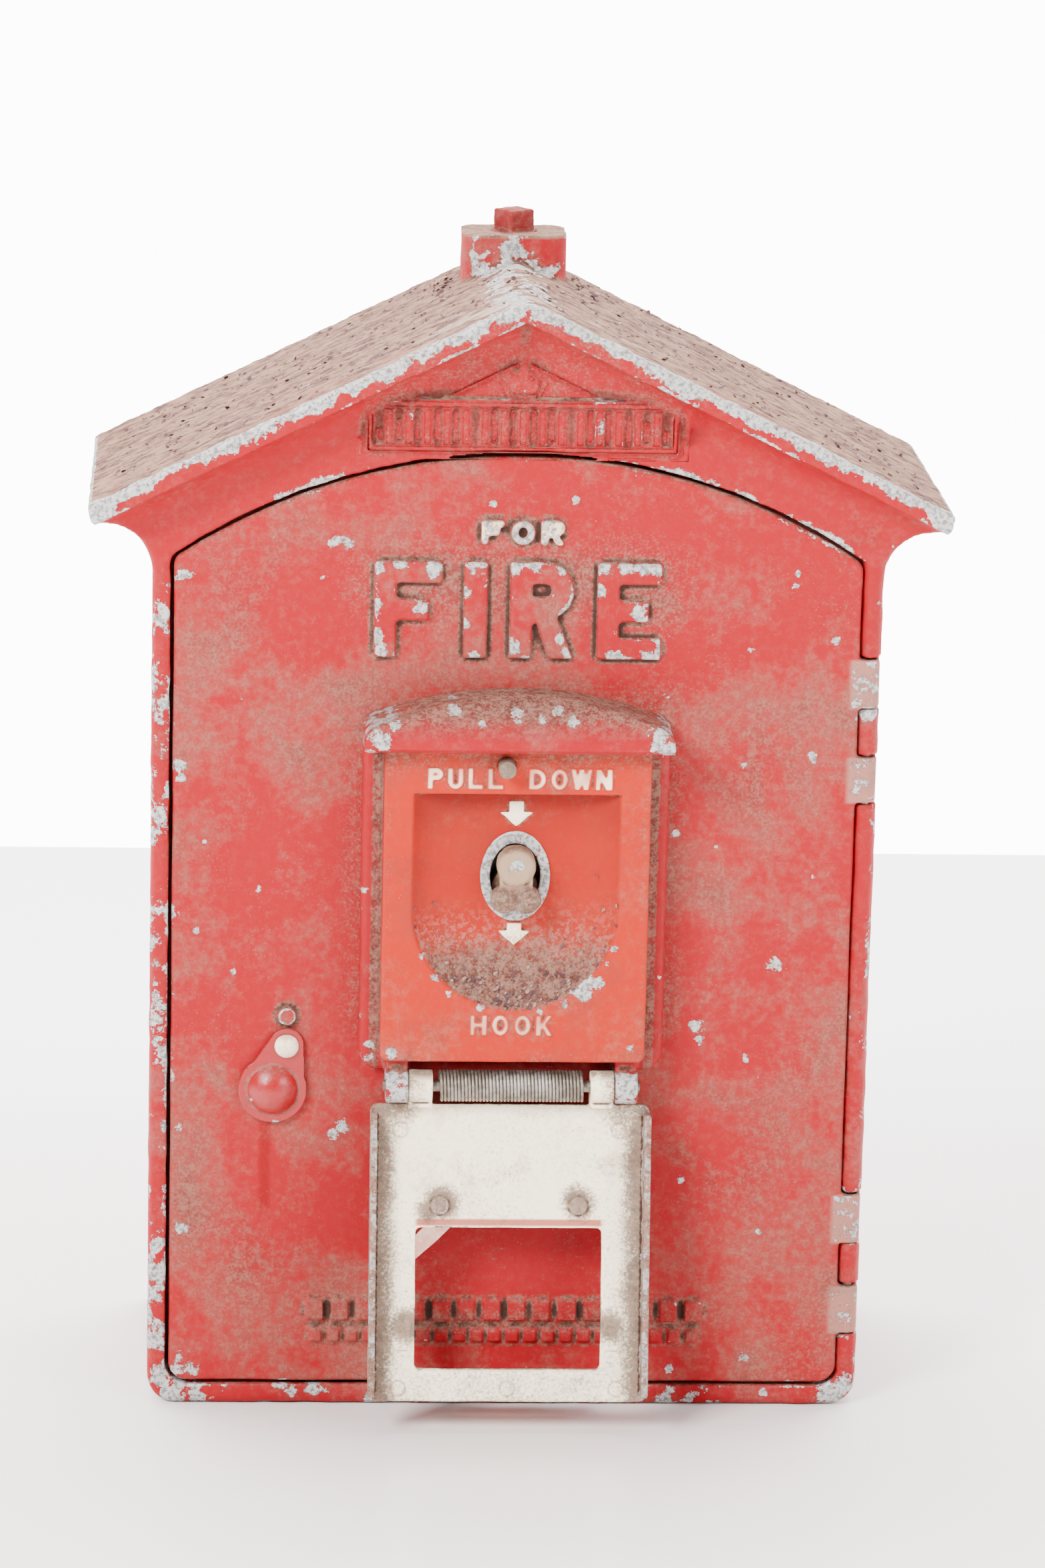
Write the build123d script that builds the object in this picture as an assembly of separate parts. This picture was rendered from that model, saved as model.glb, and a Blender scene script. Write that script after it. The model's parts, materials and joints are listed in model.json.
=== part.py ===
"""Street fire-alarm call point of the cottage pattern.

Millimetres.  Origin at the centre of the flat base, +X to the right seen from the front,
the front faces -Y and +Z is up.
"""
import os
from math import atan, cos, pi, radians, sin, sqrt, tan

from build123d import *

# Case
BODY_HALF = 135.3
BODY_FRONT = -63.0
BODY_BACK = 63.0
WALL = 6.0
BASE_CORNER_R = 11.0
ROOF_HALF = 159.0
ROOF_PEAK = 428.0
ROOF_SLOPE = 0.49
ROOF_FRONT = -78.0
ROOF_THICK = 8.5
EAVE_TOP = ROOF_PEAK - ROOF_SLOPE * ROOF_HALF
EAVE_UNDER = 342.0
COVE_START = 322.0
FRONT_COVE = 14.0

# Door
DOOR_HALF = 127.2
DOOR_BOTTOM = 9.4
DOOR_SHOULDER = 327.5
DOOR_ARCH_R = 225.0
DOOR_ARCH_Z = 142.6
DOOR_THICK = 6.0
DOOR_BACK = BODY_FRONT + DOOR_THICK
DOOR_GAP = 1.4
LIP_FRONT = -54.0
LIP_BACK = -48.0
LIP_INSET = 6.0

# Door hinge
HINGE_X = 131.0
HINGE_Y = -59.0
HINGE_R = 4.0
HINGE_BEAD_R = 3.7
HINGE_PIN_R = 1.75
RUNNING = 0.05
HINGE_SETS = ((29.3, 48.1, 65.4, 84.5), (237.8, 255.2, 273.8, 292.4))
TAB_GAP = 0.4

# Pull station on the door
HOUSING_HALF = 57.0
HOUSING_BOTTOM = 135.3
HOUSING_TOP = 281.0
FLANGE_FRONT = -71.0
ISLAND_HALF = 49.4
ISLAND_BOTTOM = 142.0
ISLAND_TOP = 262.0
ISLAND_FRONT = -83.0
HOOD_FRONT = -93.0
ISLAND_WALL = 4.0
PLATE_THICK = 4.0
RECESS_R = 38.9
RECESS_Z = 200.6
RECESS_TOP = 244.9
RECESS_DEPTH = 8.5
RECESS_FLOOR = ISLAND_FRONT + RECESS_DEPTH
RECESS_FLAT_R = 20.0
SLOT_Z = 211.9
SLOT_HALF_W = 9.35
SLOT_HALF_H = 12.5

# Pull-down cover, drawn closed about its hinge and then swung open
COVER_AXIS_Y = -79.5
COVER_AXIS_Z = 132.0
COVER_OPEN = 170.0
COVER_HALF = 52.4
COVER_SKIN = 2.4
COVER_FLANGE = 2.4
COVER_OUTER = -7.6
COVER_START = 7.5
COVER_LENGTH = 120.0
COVER_FLANGE_BACK = 5.0
WINDOW_HALF = 35.0
WINDOW_START = 54.2
WINDOW_END = 107.7
COVER_PIN_R = 2.2

# Pull hook
HOOK_PIVOT_Y = -12.0
HOOK_PIVOT_Z = 212.0
HOOK_PIN_R = 2.0

# Keyhole
KEY_X = -88.9
KEY_Z = 125.7
KEY_PIVOT_X = -83.8
KEY_PIVOT_Z = 142.9
KEYHOLE_R = 6.0

# Clockwork: plates, gear module and arbor places
BOARD_FRONT = 51.0
PLATE_X0 = -68.0
PLATE_X1 = 62.0
PLATE_Z0 = 118.0
PLATE_Z1 = 240.0
FRONT_PLATE = (8.0, 11.0)
BACK_PLATE = (40.0, 43.0)
MODULE = 0.75
MAIN_TEETH = 80
CODE_TEETH = 32
PINION_TEETH = 16
SECOND_TEETH = 64
MAIN_AT = (-24.0, 165.0)
ARBOR_R = 2.0
PIVOT_R = 1.2


def polar(origin, reach, angle):
    """A point at a distance and angle (degrees) from another, in the X-Z plane."""
    return (origin[0] + reach * cos(radians(angle)), origin[1] + reach * sin(radians(angle)))


CODE_ANGLE = 110.0
SECOND_ANGLE = 35.0
GOVERNOR_ANGLE = 30.0
CODE_AT = polar(MAIN_AT, MODULE * (MAIN_TEETH + CODE_TEETH) / 2, CODE_ANGLE)
SECOND_AT = polar(MAIN_AT, MODULE * (MAIN_TEETH + PINION_TEETH) / 2, SECOND_ANGLE)
GOVERNOR_AT = polar(SECOND_AT, MODULE * (SECOND_TEETH + PINION_TEETH) / 2, GOVERNOR_ANGLE)


# ---------------------------------------------------------------- helpers

def front_plane(y):
    """Sketch plane at depth y: local x is X, local y is Z, and it faces the front (-Y)."""
    return Plane(origin=(0, y, 0), x_dir=(1, 0, 0), z_dir=(0, -1, 0))


def slab(sketch, y_front, y_back):
    """A flat X-Z sketch given thickness between two depths."""
    return extrude(front_plane(y_back) * sketch, amount=y_back - y_front)


def block(x0, x1, y0, y1, z0, z1):
    """A box from its low and high corners."""
    return Pos((x0 + x1) / 2, (y0 + y1) / 2, (z0 + z1) / 2) * Box(x1 - x0, y1 - y0, z1 - z0)


def rod_y(at, r, y0, y1):
    """A round bar along Y at an (x, z) place."""
    return slab(Pos(at[0], at[1]) * Circle(r), y0, y1)


def rod_x(y, z, r, x0, x1):
    """A round bar along X."""
    return Pos((x0 + x1) / 2, y, z) * Rot(0, 90, 0) * Cylinder(r, x1 - x0)


def rod_z(x, y, r, z0, z1):
    """A round bar along Z."""
    return Pos(x, y, (z0 + z1) / 2) * Cylinder(r, z1 - z0)


def rect(x0, x1, z0, z1):
    """A rectangle in the sketch plane from its corners."""
    return Pos((x0 + x1) / 2, (z0 + z1) / 2) * Rectangle(x1 - x0, z1 - z0)


def polygon(*points):
    """A closed straight-sided face in the sketch plane."""
    return make_face(Polyline(*points, close=True))


def soften(solid, edges, radius):
    """Round the given edges, keeping the plain shape where the round doesn't fit."""
    try:
        rounded = fillet(edges, radius)
    except Exception:
        return solid
    return rounded if rounded.is_valid else solid


def write(name, *solids):
    """Write one node from one or more separate solids."""
    shape = solids[0] if len(solids) == 1 else Compound(children=list(solids))
    export_step(shape, f"parts/{name}.step")


# ---------------------------------------------------------------- lettering

def half_ring(width, height, stroke):
    """The right half of a rounded ring, used for bowls of letters."""
    ring = RectangleRounded(2 * width, height, min(width, height / 2) * 0.98)
    hole = RectangleRounded(2 * (width - stroke), height - 2 * stroke,
                            min(width - stroke, height / 2 - stroke) * 0.98)
    return Pos(0, height / 2) * ((ring - hole) & (Pos(width, 0) * Rectangle(2 * width, height)))


def letter(name, width, height, stroke):
    """One plain block capital with its lower left corner at the sketch origin."""
    stem = rect(0, stroke, 0, height)
    right_stem = Pos(width - stroke, 0) * stem
    top = rect(0, width, height - stroke, height)
    middle = rect(0, 0.8 * width, 0.5 * height - 0.5 * stroke, 0.5 * height + 0.5 * stroke)
    foot = rect(0, width, 0, stroke)
    if name == "I":
        return rect(0, width, 0, height)
    if name == "F":
        return stem + top + middle
    if name == "E":
        return stem + top + middle + foot
    if name == "L":
        return stem + foot
    if name == "H":
        return stem + right_stem + rect(0, width, 0.5 * height - 0.5 * stroke, 0.5 * height + 0.5 * stroke)
    if name == "P":
        return stem + Pos(0, 0.42 * height) * half_ring(width, 0.58 * height, stroke)
    if name == "R":
        leg = polygon((0.35 * width, 0.5 * height), (0.35 * width + stroke, 0.5 * height),
                      (width, 0), (width - stroke * 1.1, 0))
        return stem + Pos(0, 0.42 * height) * half_ring(width, 0.58 * height, stroke) + leg
    if name == "D":
        return stem + half_ring(width, height, stroke)
    if name == "O":
        outer = Ellipse(width / 2, height / 2)
        inner = Ellipse(width / 2 - stroke, height / 2 - stroke)
        return Pos(width / 2, height / 2) * (outer - inner)
    if name == "U":
        bowl = Pos(width / 2, width / 2) * (Circle(width / 2) - Circle(width / 2 - stroke))
        bowl = bowl & rect(0, width, 0, width / 2)
        return bowl + rect(0, stroke, width / 2, height) + rect(width - stroke, width, width / 2, height)
    if name == "N":
        slant = polygon((0, height), (stroke * 1.2, height), (width, 0), (width - stroke * 1.2, 0))
        return stem + right_stem + slant
    if name == "K":
        upper = polygon((0.5 * stroke, 0.3 * height), (width - stroke * 1.2, height), (width, height),
                        (0.5 * stroke, 0.1 * height))
        lower = polygon((0.3 * width, 0.5 * height), (0.52 * width, 0.62 * height), (width, 0),
                        (width - stroke * 1.2, 0))
        return stem + upper + lower
    if name == "W":
        lean = 0.25 * width
        face = Sketch()
        for start, end in ((0, lean), (2 * lean, lean), (2 * lean, 3 * lean), (4 * lean, 3 * lean)):
            face += polygon((start - stroke / 2, height), (start + stroke / 2, height),
                            (end + stroke / 2, 0), (end - stroke / 2, 0))
        return face
    raise ValueError(name)


def word(text, x0, x1, z0, z1, stroke, narrow=0.45):
    """A row of block capitals that fills a rectangle; I takes a narrow place."""
    height = z1 - z0
    shares = [narrow if ch == "I" else 1.0 for ch in text]
    gap = 0.3
    unit = (x1 - x0) / (sum(shares) + gap * (len(text) - 1))
    face = Sketch()
    x = x0
    for ch, share in zip(text, shares):
        face += Pos(x, z0) * letter(ch, unit * share, height, stroke)
        x += unit * (share + gap)
    return face


# ---------------------------------------------------------------- case

def roof_top(x):
    """Height of the roof surface at a distance from the ridge."""
    return ROOF_PEAK - ROOF_SLOPE * abs(x)


def gable_outline():
    """Front silhouette: walls, side coves, eave tips and the two slopes."""
    reach = 152.0
    points = [(BODY_HALF, COVE_START), (reach, EAVE_UNDER)]
    half = [Line((0, 0), (BODY_HALF, 0)), Line((BODY_HALF, 0), points[0])]
    half.append(TangentArc(points[0], points[1], tangent=(0, 1)))
    half.append(Line(points[1], (ROOF_HALF - 1, EAVE_UNDER + 1.5)))
    half.append(Line((ROOF_HALF - 1, EAVE_UNDER + 1.5), (ROOF_HALF, EAVE_TOP)))
    half.append(Line((ROOF_HALF, EAVE_TOP), (0, ROOF_PEAK)))
    half.append(Line((0, ROOF_PEAK), (0, 0)))
    right = make_face(half)
    left = mirror(right, about=Plane.YZ)
    face = right + left
    base = [v for v in face.vertices() if abs(v.Y) < 0.01 and abs(v.X) > 100]
    face = fillet(base, BASE_CORNER_R)
    tips = [v for v in face.vertices() if abs(v.X) > ROOF_HALF - 2]
    face = fillet(tips, 1.9)
    peak = [v for v in face.vertices() if v.Y > ROOF_PEAK - 1]
    return fillet(peak, 12.0)


def roof_slab_face():
    """The roof slab seen from the front, from the ridge to both eave tips."""
    under = ROOF_PEAK - ROOF_THICK
    band = polygon((0, under), (ROOF_HALF + 5, under - ROOF_SLOPE * (ROOF_HALF + 5)),
                   (ROOF_HALF + 5, ROOF_PEAK + 20), (-ROOF_HALF - 5, ROOF_PEAK + 20),
                   (-ROOF_HALF - 5, under - ROOF_SLOPE * (ROOF_HALF + 5)))
    return gable_outline() & band


def door_outline(grow):
    """The door's round-topped outline, grown by a clearance all round."""
    half = DOOR_HALF + grow
    low = DOOR_BOTTOM - grow
    arch = DOOR_ARCH_R + grow
    tall = rect(-half, half, low, DOOR_ARCH_Z + arch + 5)
    face = tall & (Pos(0, DOOR_ARCH_Z) * Circle(arch))
    low_corners = [v for v in face.vertices() if abs(v.Y - low) < 0.01]
    face = fillet(low_corners, max(7.0 + grow, 2.0))
    shoulders = [v for v in face.vertices() if v.Y > DOOR_ARCH_Z]
    return fillet(shoulders, max(5.0 + grow, 2.0))


def front_cove():
    """The hollow moulding between the pediment face and the roof's front overhang."""
    lean = atan(ROOF_SLOPE)
    under = ROOF_PEAK - ROOF_THICK
    strips = []
    for side in (1, -1):
        along = Vector(side * cos(lean), 0, -sin(lean))
        down = Vector(-side * sin(lean), 0, -cos(lean))
        plane = Plane(origin=Vector(0, BODY_FRONT, under) - along * 40, x_dir=down, z_dir=along)
        outward = -1 if plane.y_dir.Y > 0 else 1
        corner = rect(-0.5, FRONT_COVE, *sorted((-outward * 0.5, outward * FRONT_COVE)))
        hollow = Pos(FRONT_COVE, outward * FRONT_COVE) * Circle(FRONT_COVE)
        strip = extrude(plane * (corner - hollow), amount=40 + ROOF_HALF / cos(lean))
        keep = block(0, side * 400, -200, 200, 200, 600) if side > 0 else block(-400, 0, -200, 200, 200, 600)
        strips.append(strip & keep)
    return strips[0] + strips[1]


def cavity_face():
    """Inside outline of the case: the walls and the two slopes of the ceiling."""
    half = BODY_HALF - WALL
    ceiling = ROOF_PEAK - ROOF_THICK - 3
    face = polygon((-half, WALL + 1), (half, WALL + 1), (half, ceiling - ROOF_SLOPE * half),
                   (0, ceiling), (-half, ceiling - ROOF_SLOPE * half))
    low = [v for v in face.vertices() if v.Y < 20]
    return fillet(low, 5.0)


def name_panel():
    """A raised reeded panel with a plain flame above it, in the pediment."""
    frame = rect(-57, 57, 369.5, 388) - rect(-55, 55, 371.5, 386)
    for step in range(15):
        frame += Pos(-49 + 7 * step, 378.75) * Rectangle(3.6, 12.5)
    flame = polygon((-4.5, 391), (4.5, 391), (6.5, 395), (3.5, 398.5), (2.5, 396.5), (0.5, 403),
                    (-3, 398), (-4.5, 399), (-6.5, 395))
    return slab(frame + flame, BODY_FRONT - 2.2, BODY_FRONT)


BOSS_HALF_X = 19.7
BOSS_Y = 33.0
BOSS_HALF_Y = 15.0
BOSS_TOP = 437.0
PLUG_R = 8.5


def cottage_case():
    """One casting: hollow body, gable roof with coves, rim, conduit boss and hinge knuckles."""
    outline = gable_outline()
    shell = slab(outline, BODY_FRONT, BODY_BACK)
    rim_edges = [e for e in shell.edges().filter_by(Plane.XZ) if e.center().Y < BODY_FRONT + 0.1
                 and e.center().Z < COVE_START]
    shell = soften(shell, rim_edges, 3.5)
    shell += slab(roof_slab_face(), ROOF_FRONT, BODY_BACK)
    shell += front_cove() & slab(outline, ROOF_FRONT, BODY_BACK)
    shell += name_panel()
    boss = Pos(0, BOSS_Y, (BOSS_TOP + 400) / 2) * extrude(
        RectangleRounded(2 * BOSS_HALF_X, 2 * BOSS_HALF_Y, 8), amount=(BOSS_TOP - 400) / 2, both=True)
    shell += boss
    shell -= slab(cavity_face(), LIP_BACK, BODY_BACK - WALL)
    shell -= slab(cavity_face() - door_outline(DOOR_GAP + WALL), BODY_FRONT + WALL, LIP_BACK + 1)
    shell -= slab(door_outline(DOOR_GAP), BODY_FRONT - 1, LIP_FRONT)
    shell -= slab(door_outline(-LIP_INSET), LIP_FRONT - 1, LIP_BACK + 1)
    shell -= rod_z(0, BOSS_Y, PLUG_R, 395, BOSS_TOP + 1)
    shell += rod_z(0, 20, 17, WALL, WALL + 7)
    shell -= rod_z(0, 20, 10.5, -1, WALL + 9)
    for x in (-100, 100):
        for z in (40, 300):
            shell -= rod_y((x, z), 3.5, BODY_BACK - WALL - 1, BODY_BACK + 1)
    return hinge_side(shell)


def hinge_side(shell):
    """Turn the right rim into a half-round bead about the hinge axis, with pockets for the tabs."""
    low, high = DOOR_BOTTOM + 1.5, DOOR_SHOULDER + 2.5
    shell -= block(HINGE_X - 5, BODY_HALF + 1, BODY_FRONT - 1, HINGE_Y, low, high)
    shell += rod_z(HINGE_X, HINGE_Y, HINGE_BEAD_R, low, high)
    for z0, z1, z2, z3 in HINGE_SETS:
        pocket = block(HINGE_X - HINGE_R - 4, BODY_HALF + 1, BODY_FRONT - 1, HINGE_Y + HINGE_R + 0.6,
                       z0 - TAB_GAP, z3 + TAB_GAP)
        shell -= pocket
        knuckle = rod_z(HINGE_X, HINGE_Y, HINGE_BEAD_R, z1 + TAB_GAP, z2 - TAB_GAP)
        web = block(HINGE_X - 1.5, BODY_HALF, HINGE_Y, HINGE_Y + HINGE_R + 2, z1 + TAB_GAP, z2 - TAB_GAP)
        shell += knuckle + web
        shell -= rod_z(HINGE_X, HINGE_Y, HINGE_PIN_R, z1, z2)
        shell -= rod_z(HINGE_X, HINGE_Y, HINGE_PIN_R + 0.2, z0 - 3, z0)
    return shell


def conduit_plug():
    """Square-headed pipe plug that closes the upper conduit entry."""
    stem = rod_z(0, BOSS_Y, PLUG_R, 418, BOSS_TOP)
    head = extrude(Pos(0, BOSS_Y, BOSS_TOP) * Rot(0, 0, 37) * Rectangle(11, 11), amount=8.2)
    top = head.edges().filter_by_position(Axis.Z, BOSS_TOP + 8, BOSS_TOP + 9)
    return stem + soften(head, top, 0.9)


def hinge_pins():
    """Two pins, fixed in the case knuckles and running in the door's tabs."""
    return [rod_z(HINGE_X, HINGE_Y, HINGE_PIN_R, z0 - 2, z3 - 0.5) for z0, _, _, z3 in HINGE_SETS]


# ---------------------------------------------------------------- outer door

def door_words():
    """The raised words on the door."""
    height = (292.2, 328.4)
    stroke = 8.0
    spans = (("F", -53.5, -28.7), ("I", -20.4, -11.9), ("R", -3.4, 20.0), ("E", 28.8, 52.5))
    face = Sketch()
    for ch, x0, x1 in spans:
        face += Pos(x0, height[0]) * letter(ch, x1 - x0, height[1] - height[0], stroke)
    face += word("FOR", -14.5, 16.1, 335.0, 344.1, 2.4)
    return face


def door_bars():
    """Two rows of plain raised dashes low on the door."""
    face = Sketch()
    for row_z, height, width, pitch, count in ((38.2, 8.0, 6.4, 9.6, 16), (28.0, 4.6, 4.2, 6.8, 22)):
        for step in range(count):
            face += Pos((step - (count - 1) / 2) * pitch, row_z) * Rectangle(width, height)
    return face


def outer_door():
    """The door casting with words, hinge tabs, stiffening rim and the holes through it."""
    plate = slab(door_outline(0), BODY_FRONT, DOOR_BACK)
    front_edges = [e for e in plate.edges() if abs(e.center().Y - BODY_FRONT) < 0.01
                      and e.center().X < DOOR_HALF - 2]
    door = soften(plate, front_edges, 1.6)
    rim = door_outline(-10) - door_outline(-13)
    door += slab(rim, DOOR_BACK - 0.1, DOOR_BACK + 5)
    door += slab(door_words(), BODY_FRONT - 2.4, BODY_FRONT)
    door += slab(door_bars(), BODY_FRONT - 1.6, BODY_FRONT)
    for z0, z1, z2, z3 in HINGE_SETS:
        for low, high in ((z0, z1), (z2, z3)):
            leaf = block(HINGE_X - 9, HINGE_X, BODY_FRONT, DOOR_BACK, low, high)
            door += leaf + rod_z(HINGE_X, HINGE_Y, HINGE_R, low, high)
        door -= rod_z(HINGE_X, HINGE_Y, HINGE_PIN_R + RUNNING, z0 - 1, z3 + 1)
    door -= block(-13, 13, BODY_FRONT - 5, DOOR_BACK + 1, 180, 232)
    door -= rod_y((KEY_X, KEY_Z), KEYHOLE_R, BODY_FRONT - 1, DOOR_BACK + 1)
    door += rod_y((-83.8, 154.1), 3.5, BODY_FRONT - 2.6, BODY_FRONT)
    for at in HOUSING_SCREWS:
        door -= rod_y(at, 2.5, BODY_FRONT - 1, DOOR_BACK + 1)
    return door


HOUSING_SCREWS = [(x, z) for x in (-53.2, 53.2) for z in (150.0, 262.0)]


# ---------------------------------------------------------------- pull station

def hood():
    """The rounded hood that shelters the cover's top edge: a quarter-round with an arched top."""
    under = ISLAND_TOP
    arch_r = 150.0
    profile = make_face([
        Line((FLANGE_FRONT + 8, HOUSING_TOP), (FLANGE_FRONT, HOUSING_TOP)),
        RadiusArc((FLANGE_FRONT, HOUSING_TOP), (HOOD_FRONT, under + 5), -26),
        Line((HOOD_FRONT, under + 5), (HOOD_FRONT, under + 1.8)),
        Line((HOOD_FRONT, under + 1.8), (HOOD_FRONT + 3, under)),
        Line((HOOD_FRONT + 3, under), (FLANGE_FRONT + 8, under)),
        Line((FLANGE_FRONT + 8, under), (FLANGE_FRONT + 8, HOUSING_TOP)),
    ])
    body = extrude(Plane.YZ * profile, amount=HOUSING_HALF, both=True)
    arch = rect(-HOUSING_HALF, HOUSING_HALF, under, HOUSING_TOP + 5) & (
        Pos(0, HOUSING_TOP - arch_r) * Circle(arch_r))
    shoulders = [v for v in arch.vertices() if v.Y > under + 3]
    return body & slab(fillet(shoulders, 6.0), HOOD_FRONT - 1, BODY_FRONT)


def pull_station_housing():
    """Raised bezel: base flange, hollow island for the plate, hood and the fixed cover lugs."""
    flange_face = rect(-HOUSING_HALF, HOUSING_HALF, HOUSING_BOTTOM, HOUSING_TOP - 12)
    low = [v for v in flange_face.vertices() if v.Y < HOUSING_BOTTOM + 1]
    flange = slab(fillet(low, 8.0), FLANGE_FRONT, BODY_FRONT)
    front = [e for e in flange.edges() if abs(e.center().Y - FLANGE_FRONT) < 0.01
             and e.center().Z < HOUSING_TOP - 13]
    housing = soften(flange, front, 3.0)
    island_face = rect(-ISLAND_HALF, ISLAND_HALF, ISLAND_BOTTOM, ISLAND_TOP + 1)
    housing += slab(island_face, ISLAND_FRONT + PLATE_THICK, BODY_FRONT)
    housing += hood()
    for side in (-1, 1):
        x0, x1 = sorted((side * 38.6, side * 47.0))
        housing += rod_x(COVER_AXIS_Y, COVER_AXIS_Z, 6.5, x0, x1)
        housing += block(x0, x1, COVER_AXIS_Y, BODY_FRONT, COVER_AXIS_Z - 6.5, ISLAND_BOTTOM)
    inner = ISLAND_HALF - ISLAND_WALL
    hollow = rect(-inner, inner, ISLAND_BOTTOM + ISLAND_WALL, ISLAND_TOP - ISLAND_WALL)
    housing -= slab(hollow, ISLAND_FRONT, BODY_FRONT + 1)
    housing -= rod_x(COVER_AXIS_Y, COVER_AXIS_Z, COVER_PIN_R, -60, 60)
    for at in HOUSING_SCREWS:
        housing -= rod_y(at, 2.0, FLANGE_FRONT + 2, BODY_FRONT + 1)
    return housing


def housing_screws():
    """Four screws that hold the housing from behind the door."""
    return [rod_y(at, 2.0, FLANGE_FRONT + 2.5, DOOR_BACK) + rod_y(at, 4.0, DOOR_BACK, DOOR_BACK + 2.5)
            for at in HOUSING_SCREWS]


def recess_face(grow):
    """Outline of the D-shaped finger recess: straight top and a half-round bottom."""
    r = RECESS_R + grow
    return rect(-r, r, RECESS_Z, RECESS_TOP + grow) + Pos(0, RECESS_Z) * (Circle(r) & rect(-r, r, -r, 0))


def recess_bowl():
    """The space of the finger recess: flat in the middle, curving up to the rim like a spoon."""
    run = RECESS_R - RECESS_FLAT_R
    curve_r = (run ** 2 + RECESS_DEPTH ** 2) / (2 * RECESS_DEPTH)
    half = make_face([
        Line((0, 1), (RECESS_R, 1)),
        Line((RECESS_R, 1), (RECESS_R, 0)),
        RadiusArc((RECESS_R, 0), (RECESS_FLAT_R, -RECESS_DEPTH), curve_r),
        Line((RECESS_FLAT_R, -RECESS_DEPTH), (0, -RECESS_DEPTH)),
        Line((0, -RECESS_DEPTH), (0, 1)),
    ])
    section = Plane(origin=(0, ISLAND_FRONT, RECESS_Z), x_dir=(1, 0, 0), z_dir=(0, 0, 1))
    right = Plane(section.origin, x_dir=(1, 0, 0), z_dir=(0, 0, -1)) * half
    axis = Axis((0, ISLAND_FRONT, RECESS_Z), (0, 1, 0))
    bowl = revolve(right, axis, 360)
    upper = extrude(right, amount=-(RECESS_TOP - RECESS_Z))
    return bowl, upper + mirror(upper, about=Plane.YZ)


def arrow(z_top, z_low):
    """A short downward arrow."""
    shaft = rect(-2.35, 2.35, z_low + 4.5, z_top)
    return shaft + polygon((-5.6, z_low + 5), (5.6, z_low + 5), (0, z_low))


def instruction_plate():
    """Plate with the finger recess, its slot, the raised words and the arrows."""
    outline = rect(-ISLAND_HALF, ISLAND_HALF, ISLAND_BOTTOM, ISLAND_TOP)
    plate = slab(fillet(outline.vertices().sort_by(Axis.Y)[:2], 3.0), ISLAND_FRONT, ISLAND_FRONT + PLATE_THICK)
    edges = [e for e in plate.edges() if abs(e.center().Y - ISLAND_FRONT) < 0.01 and e.center().Z < ISLAND_TOP - 1]
    plate = soften(plate, edges, 1.2)
    plate += slab(recess_face(1.5), ISLAND_FRONT + 1, RECESS_FLOOR + 2)
    bowl, upper = recess_bowl()
    plate -= upper
    plate -= bowl & slab(rect(-60, 60, 150, RECESS_TOP), ISLAND_FRONT - 3, 0)
    plate -= slab(Pos(0, SLOT_Z) * Ellipse(SLOT_HALF_W, SLOT_HALF_H), RECESS_FLOOR - 1, RECESS_FLOOR + 4)
    raised = word("PULL", -33.4, -5.5, 246.9, 254.9, 1.9) + word("DOWN", 3.9, 34.7, 246.9, 254.9, 1.9)
    raised += word("HOOK", -16.1, 14.8, 152.6, 160.6, 1.9)
    plate += slab(raised, ISLAND_FRONT - 0.5, ISLAND_FRONT + 0.5)
    plate += slab(arrow(240.1, 231.1) + arrow(193.4, 185.5), RECESS_FLOOR - 0.6, RECESS_FLOOR + 0.5)
    plate -= rod_y(STUD_AT, 3.2, ISLAND_FRONT - 1, ISLAND_FRONT + PLATE_THICK + 1)
    return plate


STUD_AT = (-4.4, 256.0)


def hook_escutcheon():
    """Bare oval ring round the hook's slot."""
    ring = Ellipse(13.0, 17.2) - Ellipse(SLOT_HALF_W, SLOT_HALF_H)
    return slab(Pos(0, SLOT_Z) * ring, RECESS_FLOOR - 1.0, RECESS_FLOOR)


def cover_catch_stud():
    """Stud under the hood that the cover's edge clicks past."""
    stud = rod_y(STUD_AT, 3.2, ISLAND_FRONT - 8, ISLAND_FRONT + PLATE_THICK)
    return stud


def cover_placed(solid):
    """Move a solid drawn closed about the hinge to its place with the cover hanging open."""
    return Pos(0, COVER_AXIS_Y, COVER_AXIS_Z) * Rot(COVER_OPEN, 0, 0) * solid


def pull_cover():
    """Cover drawn closed: skin with the window, side flanges, lugs, stubs and finger lip."""
    outer = COVER_OUTER
    field = outer + COVER_SKIN
    skin_face = rect(-COVER_HALF, COVER_HALF, COVER_START, COVER_LENGTH)
    skin_face = fillet([v for v in skin_face.vertices()], 3.0)
    cover = slab(skin_face, outer, field)
    cover += slab(rect(-COVER_HALF + 1, COVER_HALF - 1, COVER_LENGTH - 11.4, COVER_LENGTH - 0.4),
                  field - 0.5, field + 0.6)
    for side in (-1, 1):
        x0, x1 = sorted((side * (COVER_HALF - COVER_FLANGE), side * COVER_HALF))
        cover += block(x0, x1, outer + 0.8, COVER_FLANGE_BACK, COVER_START + 3, COVER_LENGTH - 3)
        lug0, lug1 = sorted((side * 29.5, side * 38.4))
        cover += rod_x(0, 0, 6.0, lug0, lug1)
        cover += block(lug0, lug1, outer + 0.4, 0, 0, 8.5)
        cover += rod_y((side * 26, 45.7), 3.35, field - 0.5, field + 2.0)
        cover += slab(rect(*sorted((side * 36.5, side * 43)), 89, 100), field - 0.5, field + 0.6)
    hole = rect(-WINDOW_HALF, WINDOW_HALF, WINDOW_START, WINDOW_END)
    cover -= slab(fillet(hole.vertices(), 2.0), outer - 1, field + 0.3)
    lip = block(-24, 24, outer - 15, outer + 0.5, COVER_LENGTH - 5.5, COVER_LENGTH - 1.5)
    cover += soften(lip, [e for e in lip.edges() if e.center().Y < outer - 14], 1.5)
    cover -= rod_x(0, 0, COVER_PIN_R + RUNNING, -60, 60)
    return cover_placed(cover)


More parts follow.
